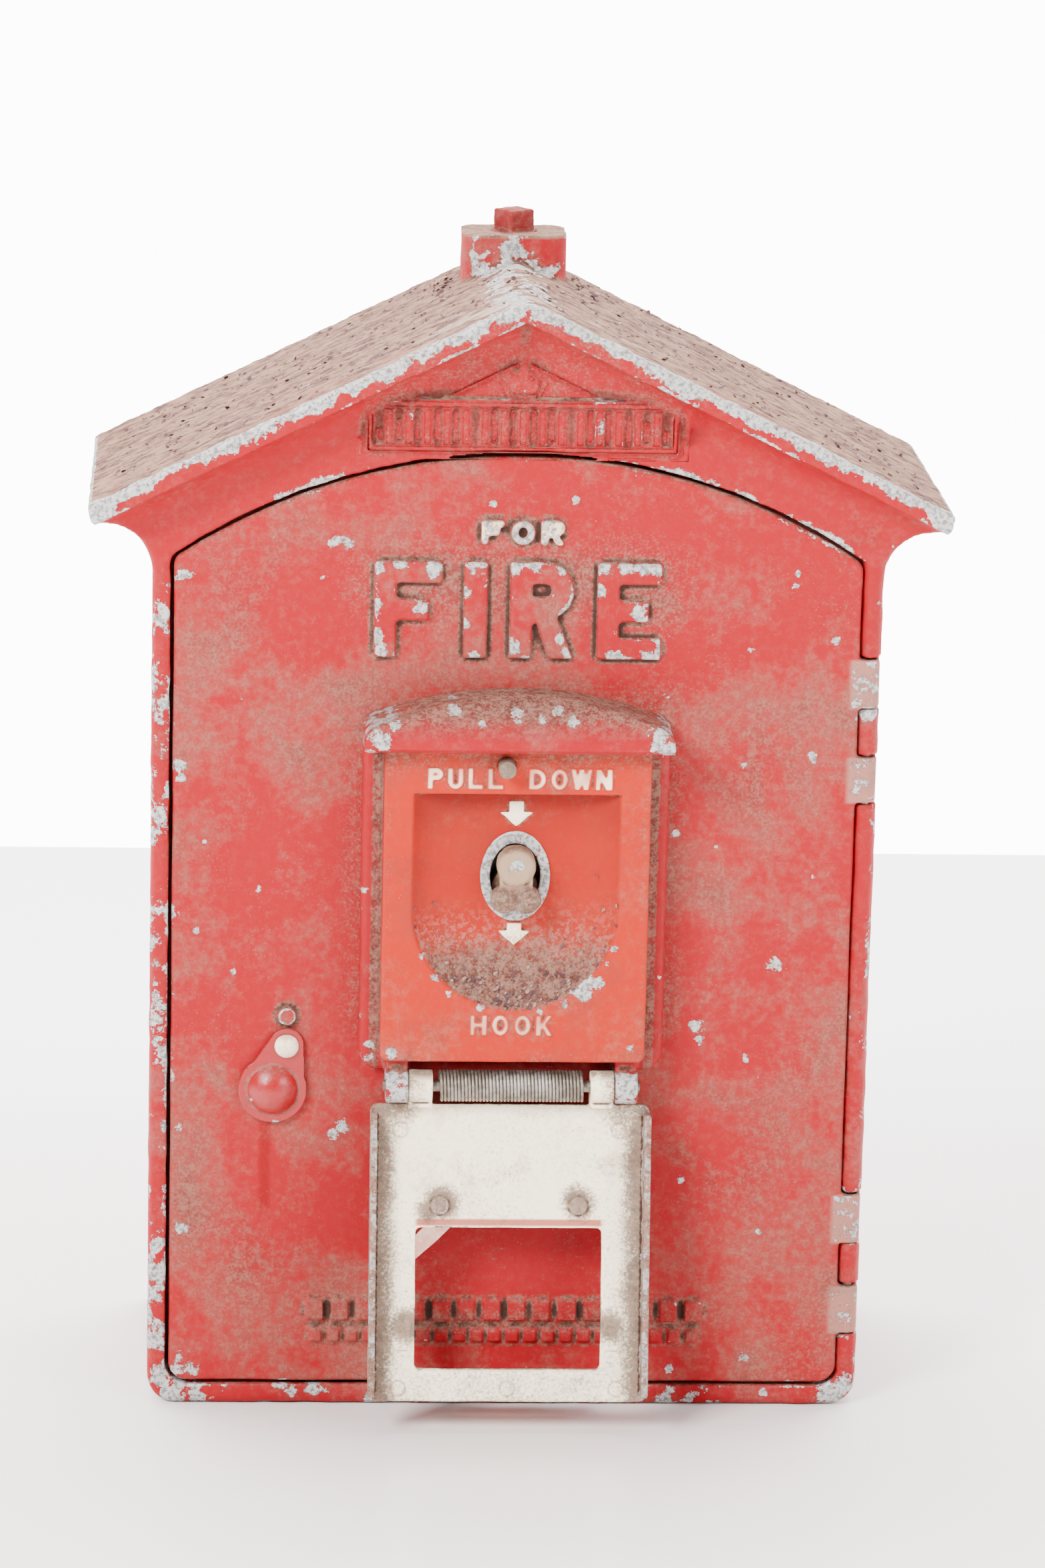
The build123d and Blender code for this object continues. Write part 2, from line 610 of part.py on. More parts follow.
def window_shard():
    """What is left of the broken pane, in one corner of the window."""
    field = COVER_OUTER + COVER_SKIN
    piece = polygon((-WINDOW_HALF, WINDOW_START + 3), (-WINDOW_HALF + 3, WINDOW_START), (-22, WINDOW_START),
                    (-27, WINDOW_START + 5), (-WINDOW_HALF, WINDOW_START + 12))
    return cover_placed(slab(piece, field - 1.4, field - 0.4))


def cover_hinge_pin():
    """Pin through the housing lugs and the cover lugs."""
    return rod_x(COVER_AXIS_Y, COVER_AXIS_Z, COVER_PIN_R, -48, 48)


def cover_spring():
    """Envelope of the close-wound torsion spring round the hinge pin."""
    outer = rod_x(COVER_AXIS_Y, COVER_AXIS_Z, 6.0, -27.5, 27.5)
    return outer - rod_x(COVER_AXIS_Y, COVER_AXIS_Z, 4.6, -28, 28)


def pull_hook():
    """Lever through the slot: knob, lobed thumb piece and shield outside, pivot and trip arm inside."""
    shank = block(-4, 4, -70, HOOK_PIVOT_Y, 213, 221)
    neck = rod_y((0, 217.2), 6.2, -82, -66)
    shield = slab(Pos(0, 205.5) * Ellipse(9, 9.5) + rect(-6, 6, 205, 218), -71.5, -66)
    outline = Pos(-4.2, 204.8) * Circle(5.2) + Pos(4.2, 204.8) * Circle(5.2) + rect(-6, 6, 200.5, 218)
    lobes = slab(outline, -84.5, -79.6)
    rim = [e for e in lobes.edges() if abs(e.center().Y + 84.5) < 0.01 and e.center().Z < 212]
    lobes = soften(lobes, rim, 1.4)
    knob = rod_y((0, 217.6), 7.2, -86, -77.5)
    knob = soften(knob, knob.edges().sort_by(Axis.Y)[:1], 2.4)
    eye = rod_x(HOOK_PIVOT_Y, HOOK_PIVOT_Z, 7, -4, 4)
    arm = block(-4, 4, -13, -6, 182, 212)
    toe = block(-4, 4, -8, -4.3, 180, 186)
    hook = shank + neck + shield + lobes + knob + eye + arm + toe
    hook += block(-4, 4, -19, -12, 208, 221)
    return hook - rod_x(HOOK_PIVOT_Y, HOOK_PIVOT_Z, HOOK_PIN_R + RUNNING, -10, 10)


def hook_bracket():
    """Two-eared bracket on the back of the door that carries the hook."""
    bracket = Part()
    for x0, x1 in ((-8.5, -4.5), (4.5, 8.5)):
        ear = block(x0, x1, DOOR_BACK, HOOK_PIVOT_Y, HOOK_PIVOT_Z - 8, HOOK_PIVOT_Z + 12)
        ear += rod_x(HOOK_PIVOT_Y, HOOK_PIVOT_Z, 8, x0, x1)
        bracket += ear
    bracket += block(-24, 24, DOOR_BACK, DOOR_BACK + 3, 184, 240) - block(-12, 12, -90, 0, 194, 230)
    bracket += block(-8.5, 8.5, DOOR_BACK, -29, 190, 194)
    for side in (-1, 1):
        x0, x1 = sorted((side * 5.0, side * 24.0))
        bracket += block(x0, x1, DOOR_BACK, DOOR_BACK + 3, 204, 224)
    bracket -= rod_x(HOOK_PIVOT_Y, HOOK_PIVOT_Z, HOOK_PIN_R, -20, 20)
    for at in BRACKET_SCREWS:
        bracket -= rod_y(at, 2.0, DOOR_BACK - 1, DOOR_BACK + 4)
    return bracket


BRACKET_SCREWS = [(x, z) for x in (-18, 18) for z in (190, 234)]


def bracket_screws():
    """Four screws from the bracket into the door's back."""
    return [rod_y(at, 3.8, DOOR_BACK + 3, DOOR_BACK + 5.5) + rod_y(at, 2.0, DOOR_BACK, DOOR_BACK + 3)
            for at in BRACKET_SCREWS]


def hook_pivot_pin():
    """Pin the hook turns on."""
    return rod_x(HOOK_PIVOT_Y, HOOK_PIVOT_Z, HOOK_PIN_R, -10, 10)


def hook_spring():
    """Envelope of the return spring that lifts the hook again."""
    return Pos(0, -34, 203.5) * (Cylinder(3.0, 18) - Cylinder(2.2, 20))


# ---------------------------------------------------------------- keyhole and lock

def keyhole_cover():
    """Drop-shaped swinging cover, domed over the keyhole, hanging from its rivet."""
    y0, y1 = BODY_FRONT - 2.6, BODY_FRONT - 0.5
    disc = Pos(KEY_X, KEY_Z) * Circle(12.9)
    neck = make_hull([*(Pos(KEY_X, KEY_Z) * Circle(12.0)).edges(),
                      *(Pos(KEY_PIVOT_X, KEY_PIVOT_Z) * Circle(6.5)).edges()])
    cover = slab(disc + neck, y0, y1)
    dome = Pos(KEY_X, y0 + 6, KEY_Z) * Sphere(11.4) & block(KEY_X - 12, KEY_X + 12, y0 - 8, y0, KEY_Z - 12, KEY_Z + 12)
    cover += dome
    return cover - rod_y((KEY_PIVOT_X, KEY_PIVOT_Z), 2.0 + RUNNING, BODY_FRONT - 8, BODY_FRONT)


def keyhole_cover_rivet():
    """Rivet with a domed head in front of the swinging cover."""
    at = (KEY_PIVOT_X, KEY_PIVOT_Z)
    head = Pos(at[0], BODY_FRONT - 1.2, at[1]) * Sphere(4.9) & block(
        at[0] - 6, at[0] + 6, BODY_FRONT - 8, BODY_FRONT - 2.8, at[1] - 6, at[1] + 6)
    return head + rod_y(at, 2.0, BODY_FRONT - 3.2, BODY_FRONT)


LOCK_FRONT = DOOR_BACK
LOCK_DEPTH = 14.0
BOLT_Y = (-46.0, -42.6)
HUB_R = 6.5
HUB_TAIL_R = 3.6
LOCK_TEETH = 12
BOLT_THROW = 7.2


def lock_body():
    """Lock case behind the door with a stepped bore for the hub and a channel for the bolt."""
    back = LOCK_FRONT + LOCK_DEPTH + 4
    case = block(-112, -70, LOCK_FRONT, back, KEY_Z - 20, KEY_Z + 20)
    case -= rod_y((KEY_X, KEY_Z), HUB_R + RUNNING, LOCK_FRONT - 1, BOLT_Y[0])
    case -= rod_y((KEY_X, KEY_Z), HUB_TAIL_R + RUNNING, BOLT_Y[0], back + 1)
    case -= block(-113, -72, BOLT_Y[0] - 0.1, BOLT_Y[1] + 0.1, KEY_Z - 10.1, KEY_Z + 10.1)
    for at in LOCK_SCREWS:
        case -= rod_y(at, 2.0, LOCK_FRONT - 1, back + 1)
    return case


LOCK_SCREWS = [(x, z) for x in (-108, -74) for z in (KEY_Z - 16, KEY_Z + 16)]


def lock_screws():
    """Four screws that hold the lock to the door."""
    back = LOCK_FRONT + LOCK_DEPTH + 4
    return [rod_y(at, 2.0, LOCK_FRONT, back) + rod_y(at, 3.6, back, back + 2) for at in LOCK_SCREWS]


def lock_hub():
    """Hub turned by the key: journal with the square socket, pinion for the bolt's rack, and tail."""
    hub = rod_y((KEY_X, KEY_Z), HUB_R, LOCK_FRONT + 0.3, BOLT_Y[0] - 0.3)
    hub -= slab(Pos(KEY_X, KEY_Z) * Rectangle(5.5, 5.5), LOCK_FRONT, LOCK_FRONT + 8)
    pinion = gear_face(LOCK_TEETH, 180 / LOCK_TEETH)
    hub += slab(Pos(KEY_X, KEY_Z) * pinion, BOLT_Y[0] - 0.4, BOLT_Y[1])
    return hub + rod_y((KEY_X, KEY_Z), HUB_TAIL_R, BOLT_Y[1] - 0.1, LOCK_FRONT + LOCK_DEPTH + 3)


def lock_bolt():
    """Sliding bolt, drawn back; a rack along the foot of its window meets the hub's pinion."""
    pitch_line = KEY_Z - MODULE * LOCK_TEETH / 2
    root = pitch_line - 1.15 * MODULE
    tip = pitch_line + 0.85 * MODULE
    slope = tan(radians(20))
    half = pi * MODULE / 4 - 0.07
    bolt = block(-112, -73.5, *BOLT_Y, KEY_Z - 10, KEY_Z + 10)
    window = rect(KEY_X - 6, KEY_X + 6 + BOLT_THROW, root, KEY_Z + 6)
    for step in range(-1, 5):
        x = KEY_X + step * pi * MODULE
        foot = half + (pitch_line - root) * slope
        crest = half - (tip - pitch_line) * slope
        window -= polygon((x - foot, root - 0.5), (x - foot, root), (x - crest, tip),
                          (x + crest, tip), (x + foot, root), (x + foot, root - 0.5))
    return bolt - slab(window, BOLT_Y[0] - 1, BOLT_Y[1] + 1)


# ---------------------------------------------------------------- clockwork

def gear_face(teeth, phase=0.0, backlash=0.14):
    """Involute gear face about the sketch origin, short-addendum, one tooth centred on phase degrees."""
    pitch = MODULE * teeth / 2
    pressure = radians(20)
    base = pitch * cos(pressure)
    tip = pitch + 0.85 * MODULE
    root = pitch - 1.15 * MODULE
    half = pi / (2 * teeth) - backlash / (2 * pitch)

    def flank(r):
        """Half the tooth's angle at a radius."""
        if r <= base:
            return half + tan(pressure) - pressure
        roll = sqrt((r / base) ** 2 - 1)
        return half + (tan(pressure) - pressure) - (roll - atan(roll))

    radii = [root, max(base, root + 0.05)]
    radii += [radii[1] + (tip - radii[1]) * step / 4 for step in range(1, 5)]
    points = []
    for tooth in range(teeth):
        centre = radians(phase) + 2 * pi * tooth / teeth
        for r in radii:
            angle = centre - flank(r)
            points.append((r * cos(angle), r * sin(angle)))
        for r in reversed(radii):
            angle = centre + flank(r)
            points.append((r * cos(angle), r * sin(angle)))
    return polygon(*points)


def mesh_phase(teeth, driver_teeth, driver_phase, angle):
    """Phase that puts a tooth gap of the follower on the driver's tooth along the centre line."""
    pitch = 360.0 / driver_teeth
    offset = (driver_phase - angle) / pitch
    follower_pitch = 360.0 / teeth
    return angle + 180 + follower_pitch * (0.5 - offset)


def arbor(at, y0, y1):
    """Arbor with a thinner pivot at each end that runs in the plates."""
    return (rod_y(at, ARBOR_R, y0 + 0.3, y1 - 0.3)
            + rod_y(at, PIVOT_R, FRONT_PLATE[0] + 0.5, BACK_PLATE[1] - 0.5))


MAIN_LEVEL = (30.0, 33.5)
SECOND_LEVEL = (35.8, 38.3)


def main_wheel():
    """Great wheel cut in one with the mainspring barrel."""
    face = Pos(*MAIN_AT) * gear_face(MAIN_TEETH)
    wheel = slab(face, *MAIN_LEVEL)
    wheel += rod_y(MAIN_AT, 24, 16.0, MAIN_LEVEL[0])
    wheel -= rod_y(MAIN_AT, 22.4, 15.0, MAIN_LEVEL[0] - 1.4)
    wheel += rod_y(MAIN_AT, 6.5, 16.0, MAIN_LEVEL[0] - 1)
    return wheel - rod_y(MAIN_AT, 4.0 + RUNNING, 10, 40)


def mainspring():
    """Wound spring inside the barrel, as a plain ring."""
    return rod_y(MAIN_AT, 22.2, 17.0, 28.0) - rod_y(MAIN_AT, 8.0, 16.0, 29.0)


def winding_arbor():
    """Winding arbor with its square for the key."""
    body = rod_y(MAIN_AT, 4.0, FRONT_PLATE[0] - 4.2, 39.5) + rod_y(MAIN_AT, 2.5, 39.0, BACK_PLATE[1])
    square = slab(Pos(*MAIN_AT) * Rectangle(5.2, 5.2), -8.0, FRONT_PLATE[0] - 4.0)
    return body + square


def ratchet_wheel():
    """Ratchet wheel on the winding arbor, in front of the front plate."""
    teeth = 20
    tip, root = 13.5, 11.2
    points = []
    for step in range(teeth):
        start = 2 * pi * step / teeth
        end = 2 * pi * (step + 0.92) / teeth
        points.append((root * cos(start), root * sin(start)))
        points.append((tip * cos(end), tip * sin(end)))
    face = Pos(*MAIN_AT) * (polygon(*points) - Circle(4.0))
    return slab(face, FRONT_PLATE[0] - 3.4, FRONT_PLATE[0] - 0.4)


CLICK_AT = (MAIN_AT[0] - 24.0, MAIN_AT[1] + 12.0)


def ratchet_click():
    """Pawl with its shoulder screw, resting in the ratchet wheel."""
    y0, y1 = FRONT_PLATE[0] - 3.2, FRONT_PLATE[0] - 0.6
    tip = polar(MAIN_AT, 14.0, 150)
    pawl = slab(Pos(*CLICK_AT) * Circle(3.6), y0, y1)
    pawl += slab(polygon((CLICK_AT[0] - 1, CLICK_AT[1] + 3.4), (CLICK_AT[0] - 1, CLICK_AT[1] - 3.4),
                         (tip[0] - 0.5, tip[1] - 1), (tip[0], tip[1] + 1)), y0, y1)
    pawl += rod_y(CLICK_AT, 2.0, y1 - 0.1, FRONT_PLATE[1])
    return pawl + rod_y(CLICK_AT, 3.0, y0 - 1.6, y0 + 0.1)


def code_wheel():
    """Code wheel: groups of cut teeth on its rim that pulse the contacts."""
    radius, depth = 23.0, 3.0
    face = Circle(radius) - Circle(2.0)
    for group_start, count in ((20, 3), (100, 2), (170, 4), (270, 3)):
        for step in range(count):
            notch = Rot(0, 0, group_start + 14 * step) * Pos(radius, 0) * Rectangle(2 * depth, 2.6)
            face -= notch
    for spoke in range(4):
        face -= Rot(0, 0, 45 + 90 * spoke) * Pos(11, 0) * Circle(4.2)
    return slab(Pos(*CODE_AT) * face, 13.0, 15.5)


def code_pinion():
    """Code arbor with its pinion, meshed with the great wheel."""
    phase = mesh_phase(CODE_TEETH, MAIN_TEETH, 0.0, CODE_ANGLE)
    gear = slab(Pos(*CODE_AT) * gear_face(CODE_TEETH, phase), *MAIN_LEVEL)
    return gear + arbor(CODE_AT, FRONT_PLATE[1], BACK_PLATE[0])


def second_phases():
    """Phases of the second arbor's pinion and of the governor pinion that meshes with its wheel."""
    pinion = mesh_phase(PINION_TEETH, MAIN_TEETH, 0.0, SECOND_ANGLE)
    governor = mesh_phase(PINION_TEETH, SECOND_TEETH, 0.0, GOVERNOR_ANGLE)
    return pinion, governor


def second_pinion():
    """Second arbor with its pinion, driven by the great wheel."""
    gear = slab(Pos(*SECOND_AT) * gear_face(PINION_TEETH, second_phases()[0]), *MAIN_LEVEL)
    return gear + arbor(SECOND_AT, FRONT_PLATE[1], BACK_PLATE[0])


def second_wheel():
    """Second wheel with four round windows."""
    face = gear_face(SECOND_TEETH) - Circle(ARBOR_R)
    for spoke in range(4):
        face -= Rot(0, 0, 45 + 90 * spoke) * Pos(12.5, 0) * Circle(5.0)
    return slab(Pos(*SECOND_AT) * face, *SECOND_LEVEL)


def governor_pinion():
    """Governor arbor with its pinion."""
    gear = slab(Pos(*GOVERNOR_AT) * gear_face(PINION_TEETH, second_phases()[1]), *SECOND_LEVEL)
    return gear + arbor(GOVERNOR_AT, FRONT_PLATE[1], BACK_PLATE[0])


def governor_fan():
    """Two-bladed air fan that steadies the speed."""
    hub = Circle(3.6) - Circle(ARBOR_R)
    blade = rect(3.2, 13.0, -0.5, 0.5)
    return slab(Pos(*GOVERNOR_AT) * (hub + blade + Rot(0, 0, 180) * blade), 14.0, 28.0)


PILLARS = [(x, z) for x in (PLATE_X0 + 6, PLATE_X1 - 6) for z in (PLATE_Z0 + 6, PLATE_Z1 - 6)]
ARBORS = (CODE_AT, SECOND_AT, GOVERNOR_AT)


def movement_plate(y0, y1, main_hole):
    """One brass plate of the movement with its pivot and pillar holes."""
    face = rect(PLATE_X0, PLATE_X1, PLATE_Z0, PLATE_Z1)
    face = fillet(face.vertices(), 5.0)
    for at in PILLARS:
        face -= Pos(*at) * Circle(2.0)
    for at in ARBORS:
        face -= Pos(*at) * Circle(PIVOT_R + RUNNING)
    face -= Pos(*MAIN_AT) * Circle(main_hole)
    return slab(face, y0, y1)


def movement_front_plate():
    """Front plate, with the holes for the click screw and the start lever bracket."""
    plate = movement_plate(*FRONT_PLATE, 4.0)
    plate -= rod_y(CLICK_AT, 2.0, 0, 20)
    return plate


def movement_back_plate():
    """Back plate of the movement."""
    return movement_plate(*BACK_PLATE, 2.5)


def plate_pillars():
    """Four pillars between the plates."""
    return [rod_y(at, 4.0, FRONT_PLATE[1], BACK_PLATE[0]) for at in PILLARS]


def pillar_screws():
    """Four screws that hold the front plate to the pillars."""
    return [rod_y(at, 3.6, FRONT_PLATE[0] - 2.2, FRONT_PLATE[0])
            + rod_y(at, 2.0, FRONT_PLATE[0], FRONT_PLATE[1]) for at in PILLARS]


def plate_standoffs():
    """Four standoffs between the movement and the base board."""
    return [rod_y(at, 4.5, BACK_PLATE[1], BOARD_FRONT)
            + rod_y(at, 2.0, BACK_PLATE[0], BACK_PLATE[1]) for at in PILLARS]


START_Y, START_Z = 0.0, 150.0


def start_lever():
    """Lever that the hook's trip arm pushes to let the train run."""
    lever = rod_x(START_Y, START_Z, 4.5, -3.6, 3.6)
    lever += block(-3.6, 3.6, -3.9, 0.5, START_Z, 184)
    return lever - rod_x(START_Y, START_Z, 1.5 + RUNNING, -10, 10)


def start_lever_bracket():
    """Two ears on the front plate that carry the start lever."""
    bracket = block(-8, 8, FRONT_PLATE[0] - 2, FRONT_PLATE[0], START_Z - 8, START_Z + 8)
    for x0, x1 in ((-8, -4), (4, 8)):
        bracket += block(x0, x1, START_Y, FRONT_PLATE[0], START_Z - 5, START_Z + 5)
        bracket += rod_x(START_Y, START_Z, 5, x0, x1)
    return bracket - rod_x(START_Y, START_Z, 1.5, -10, 10)


def start_lever_pin():
    """Pin of the start lever."""
    return rod_x(START_Y, START_Z, 1.5, -9, 9)


def contact_block():
    """Insulating block that carries the contact blades above the code wheel."""
    return block(CODE_AT[0] - 13, CODE_AT[0] + 13, FRONT_PLATE[1], 20, 232, 239.5)


def contact_blades():
    """Two spring blades reaching down towards the code wheel's rim."""
    blades = []
    for x in (CODE_AT[0] - 9, CODE_AT[0] + 6):
        blades.append(block(x, x + 0.6, 12.6, 17.6, 228.0, 232))
    return blades


# ---------------------------------------------------------------- base board and fittings

def base_board():
    """Insulating board on four bosses of the case's back."""
    board = block(-92, 92, BOARD_FRONT, BOARD_FRONT + 6, 36, 300)
    for at in BOARD_SCREWS:
        board -= rod_y(at, 2.5, BOARD_FRONT - 1, BOARD_FRONT + 7)
    return board


BOARD_SCREWS = [(x, z) for x in (-80, 80) for z in (50, 280)]


def board_screws():
    """Four screws that hold the board."""
    return [rod_y(at, 4.5, BOARD_FRONT - 3, BOARD_FRONT) + rod_y(at, 2.5, BOARD_FRONT, BOARD_FRONT + 6)
            for at in BOARD_SCREWS]


KEY_LEVER_X = -50.0
KEY_PIVOT = (37.0, 82.0)


def telegraph_key_base():
    """Base of the test key with its two posts."""
    base = block(KEY_LEVER_X - 14, KEY_LEVER_X + 14, 46, BOARD_FRONT, 52, 108)
    for x0, x1 in ((-9.5, -5.5), (5.5, 9.5)):
        base += block(KEY_LEVER_X + x0, KEY_LEVER_X + x1, 33, 46, KEY_PIVOT[1] - 4, KEY_PIVOT[1] + 4)
    return base - rod_x(*KEY_PIVOT, 1.5, KEY_LEVER_X - 20, KEY_LEVER_X + 20)


def telegraph_key_lever():
    """Sprung lever of the test key with its finger knob."""
    lever = block(KEY_LEVER_X - 4, KEY_LEVER_X + 4, 34, 39.5, 58, 104)
    lever += block(KEY_LEVER_X - 5, KEY_LEVER_X + 5, 34, 40, KEY_PIVOT[1] - 4, KEY_PIVOT[1] + 4)
    lever += rod_y((KEY_LEVER_X, 62), 8.5, 24, 29) + rod_y((KEY_LEVER_X, 62), 3, 28.5, 34.5)
    return lever - rod_x(*KEY_PIVOT, 1.5 + RUNNING, KEY_LEVER_X - 20, KEY_LEVER_X + 20)


def telegraph_key_pin():
    """Pin of the test key's lever."""
    return rod_x(*KEY_PIVOT, 1.5, KEY_LEVER_X - 10.5, KEY_LEVER_X + 10.5)


def telegraph_key_spring():
    """Envelope of the test key's return spring."""
    ring = Pos(KEY_LEVER_X, 69) * (Circle(2.8) - Circle(2.0))
    return slab(ring, 40.2, 45.8)


GONG_AT = (52.0, 78.0)


def signal_gong():
    """Domed single-stroke bell."""
    rim = 26.0
    height = 13.0
    radius = (rim ** 2 + height ** 2) / (2 * height)
    centre_y = 24.0 + radius
    dome = Pos(GONG_AT[0], centre_y, GONG_AT[1]) * Sphere(radius)
    inner = Pos(GONG_AT[0], centre_y, GONG_AT[1]) * Sphere(radius - 1.8)
    keep = rod_y(GONG_AT, rim + 2, 20.0, 24.0 + height)
    return ((dome - inner) & keep) - rod_y(GONG_AT, 3.0, 15, 60)


def gong_post():
    """Post and nut that hold the gong."""
    return rod_y(GONG_AT, 3.0, 22.0, BOARD_FRONT) + slab(Pos(*GONG_AT) * RegularPolygon(5.5, 6), 20.0, 23.9)


COIL_AT = ((6.0, 62.0), (6.0, 86.0))
HAMMER_PIVOT = (27.5, 104.0)


def bell_coils():
    """The bell's two wound coils."""
    return [rod_y(at, 9.0, 33.0, 48.0) for at in COIL_AT]


def coil_yoke():
    """Iron yoke behind the coils."""
    return block(-2, 14, 48.0, BOARD_FRONT, 52, 96)


def bell_hammer():
    """Armature in front of the coils with the hammer arm that strikes the gong."""
    armature = block(-1, 13, 26, 29, 56, HAMMER_PIVOT[1])
    armature += rod_x(*HAMMER_PIVOT, 3, -1, 13)
    arm = block(11, 32.0, 25.2, 27.2, 68, 72)
    head = Pos(32.0, 26.2, 70) * Sphere(3.4)
    return armature + arm + head - rod_x(*HAMMER_PIVOT, 1.2 + RUNNING, -20, 30)


def hammer_bracket():
    """Two ears and a pin that carry the armature."""
    bracket = Part()
    for x0, x1 in ((-5.5, -2), (14, 17.5)):
        bracket += block(x0, x1, 24.5, BOARD_FRONT, 101, 107)
    bracket += block(-5.5, 17.5, BOARD_FRONT - 2, BOARD_FRONT, 101, 107)
    return bracket + rod_x(*HAMMER_PIVOT, 1.2, -6, 18)


TERMINAL_XS = [-45 + 18 * step for step in range(6)]


def terminal_block():
    """Insulating strip for the line and signal wires."""
    strip = block(-58, 58, 42, BOARD_FRONT, 258, 276)
    for x in TERMINAL_XS:
        strip -= rod_y((x, 267), 2.0, 40, BOARD_FRONT)
    return strip


def terminal_posts():
    """Six studs with knurled nuts."""
    return [rod_y((x, 267), 2.0, 30, BOARD_FRONT) + rod_y((x, 267), 5.0, 34, 41.8) for x in TERMINAL_XS]


def arrester_plates():
    """Two plates of the lightning arrester with saw-tooth edges facing across a small gap."""
    plates = []
    for side in (-1, 1):
        points = [(76, 150 + side * 13), (88, 150 + side * 13)]
        for step in range(7):
            points.append((88 - 2 * step, 150 + side * (1.0 if step % 2 else 3.5)))
        plates.append(slab(polygon(*points), BOARD_FRONT - 3, BOARD_FRONT))
    return plates


SINGLES = (
    cottage_case, conduit_plug, outer_door, pull_station_housing, instruction_plate, hook_escutcheon,
    cover_catch_stud, pull_cover, window_shard, cover_hinge_pin, cover_spring, pull_hook, hook_bracket,
    hook_pivot_pin, hook_spring, keyhole_cover, keyhole_cover_rivet, lock_body, lock_hub, lock_bolt,
    main_wheel, mainspring, winding_arbor, ratchet_wheel, ratchet_click, code_wheel, code_pinion,
    second_pinion, second_wheel, governor_pinion, governor_fan, movement_front_plate,
    movement_back_plate, start_lever, start_lever_bracket, start_lever_pin, contact_block, base_board,
    telegraph_key_base, telegraph_key_lever, telegraph_key_pin, telegraph_key_spring, signal_gong,
    gong_post, coil_yoke, bell_hammer, hammer_bracket, terminal_block,
)
GROUPS = (
    hinge_pins, housing_screws, bracket_screws, lock_screws, plate_pillars, pillar_screws,
    plate_standoffs, contact_blades, board_screws, bell_coils, terminal_posts, arrester_plates,
)


def main():
    """Write every node."""
    os.makedirs("parts", exist_ok=True)
    for make in SINGLES:
        write(make.__name__, make())
    for make in GROUPS:
        write(make.__name__, *make())


main()
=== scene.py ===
"""Looks of the street fire-alarm call point: weathered red castings on a pale floor.

Everything is in metres in the row frame.  Lengths written in millimetres are multiplied by MM.
"""
import json

import bmesh
import bpy
import numpy as np
from math import cos, pi, radians, sin
from mathutils import Matrix, Vector


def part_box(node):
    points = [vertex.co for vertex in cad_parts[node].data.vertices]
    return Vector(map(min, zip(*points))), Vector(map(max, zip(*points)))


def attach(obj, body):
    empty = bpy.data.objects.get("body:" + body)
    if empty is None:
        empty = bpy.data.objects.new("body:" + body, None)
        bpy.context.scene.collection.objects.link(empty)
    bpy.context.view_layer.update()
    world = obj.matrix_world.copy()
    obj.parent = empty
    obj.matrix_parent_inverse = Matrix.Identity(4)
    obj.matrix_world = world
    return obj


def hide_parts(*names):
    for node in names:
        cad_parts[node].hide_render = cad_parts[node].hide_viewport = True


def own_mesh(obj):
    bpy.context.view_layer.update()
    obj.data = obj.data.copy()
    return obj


MM = 0.001

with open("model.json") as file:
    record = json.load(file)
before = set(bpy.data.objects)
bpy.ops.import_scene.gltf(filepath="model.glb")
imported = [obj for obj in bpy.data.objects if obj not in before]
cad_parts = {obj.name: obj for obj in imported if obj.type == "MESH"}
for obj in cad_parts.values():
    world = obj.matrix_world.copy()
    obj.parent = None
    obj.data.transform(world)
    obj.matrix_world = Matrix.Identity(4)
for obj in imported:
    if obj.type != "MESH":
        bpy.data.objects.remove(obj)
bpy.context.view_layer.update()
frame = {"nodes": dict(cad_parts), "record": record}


# ---------------------------------------------------------------- meshes

def link(piece):
    """Put a new object in the scene."""
    bpy.context.scene.collection.objects.link(piece)
    return piece


def evaluated_copy(piece):
    """The object's mesh with its modifiers applied."""
    bpy.context.view_layer.update()
    graph = bpy.context.evaluated_depsgraph_get()
    return bpy.data.meshes.new_from_object(piece.evaluated_get(graph))


def read_points(mesh):
    """Vertex positions as an array."""
    flat = np.empty(len(mesh.vertices) * 3, np.float32)
    mesh.vertices.foreach_get("co", flat)
    return flat.reshape(-1, 3).astype(np.float64)


def read_edges(mesh):
    """Edge ends as an array."""
    flat = np.empty(len(mesh.edges) * 2, np.int32)
    mesh.edges.foreach_get("vertices", flat)
    return flat.reshape(-1, 2)


def neighbour_mean(values, edges, count):
    """Mean over each vertex's neighbours of values held per vertex."""
    columns = values.reshape(count, -1)
    degree = np.bincount(edges.ravel(), minlength=count).astype(np.float64)
    degree[degree == 0] = 1
    mean = np.empty_like(columns)
    for k in range(columns.shape[1]):
        total = np.bincount(edges[:, 0], weights=columns[edges[:, 1], k], minlength=count)
        total += np.bincount(edges[:, 1], weights=columns[edges[:, 0], k], minlength=count)
        mean[:, k] = total / degree
    return mean.reshape(values.shape)


def smooth_points(points, edges, passes):
    """Taubin smoothing: rounds corners without shrinking the shape."""
    count = len(points)
    for _ in range(passes):
        points = points + 0.55 * (neighbour_mean(points, edges, count) - points)
        points = points - 0.50 * (neighbour_mean(points, edges, count) - points)
    return points


def dents(points, size, seed):
    """A soft height in -1..1 at each point, from a few crossed sine waves of about one size."""
    rng = np.random.default_rng(seed)
    height = np.zeros(len(points))
    for _ in range(10):
        direction = rng.normal(size=3)
        direction /= np.linalg.norm(direction)
        wave = 2 * pi / (size * rng.uniform(0.6, 1.7))
        height += np.sin(points @ direction * wave + rng.uniform(0, 2 * pi))
    return height / 5.0


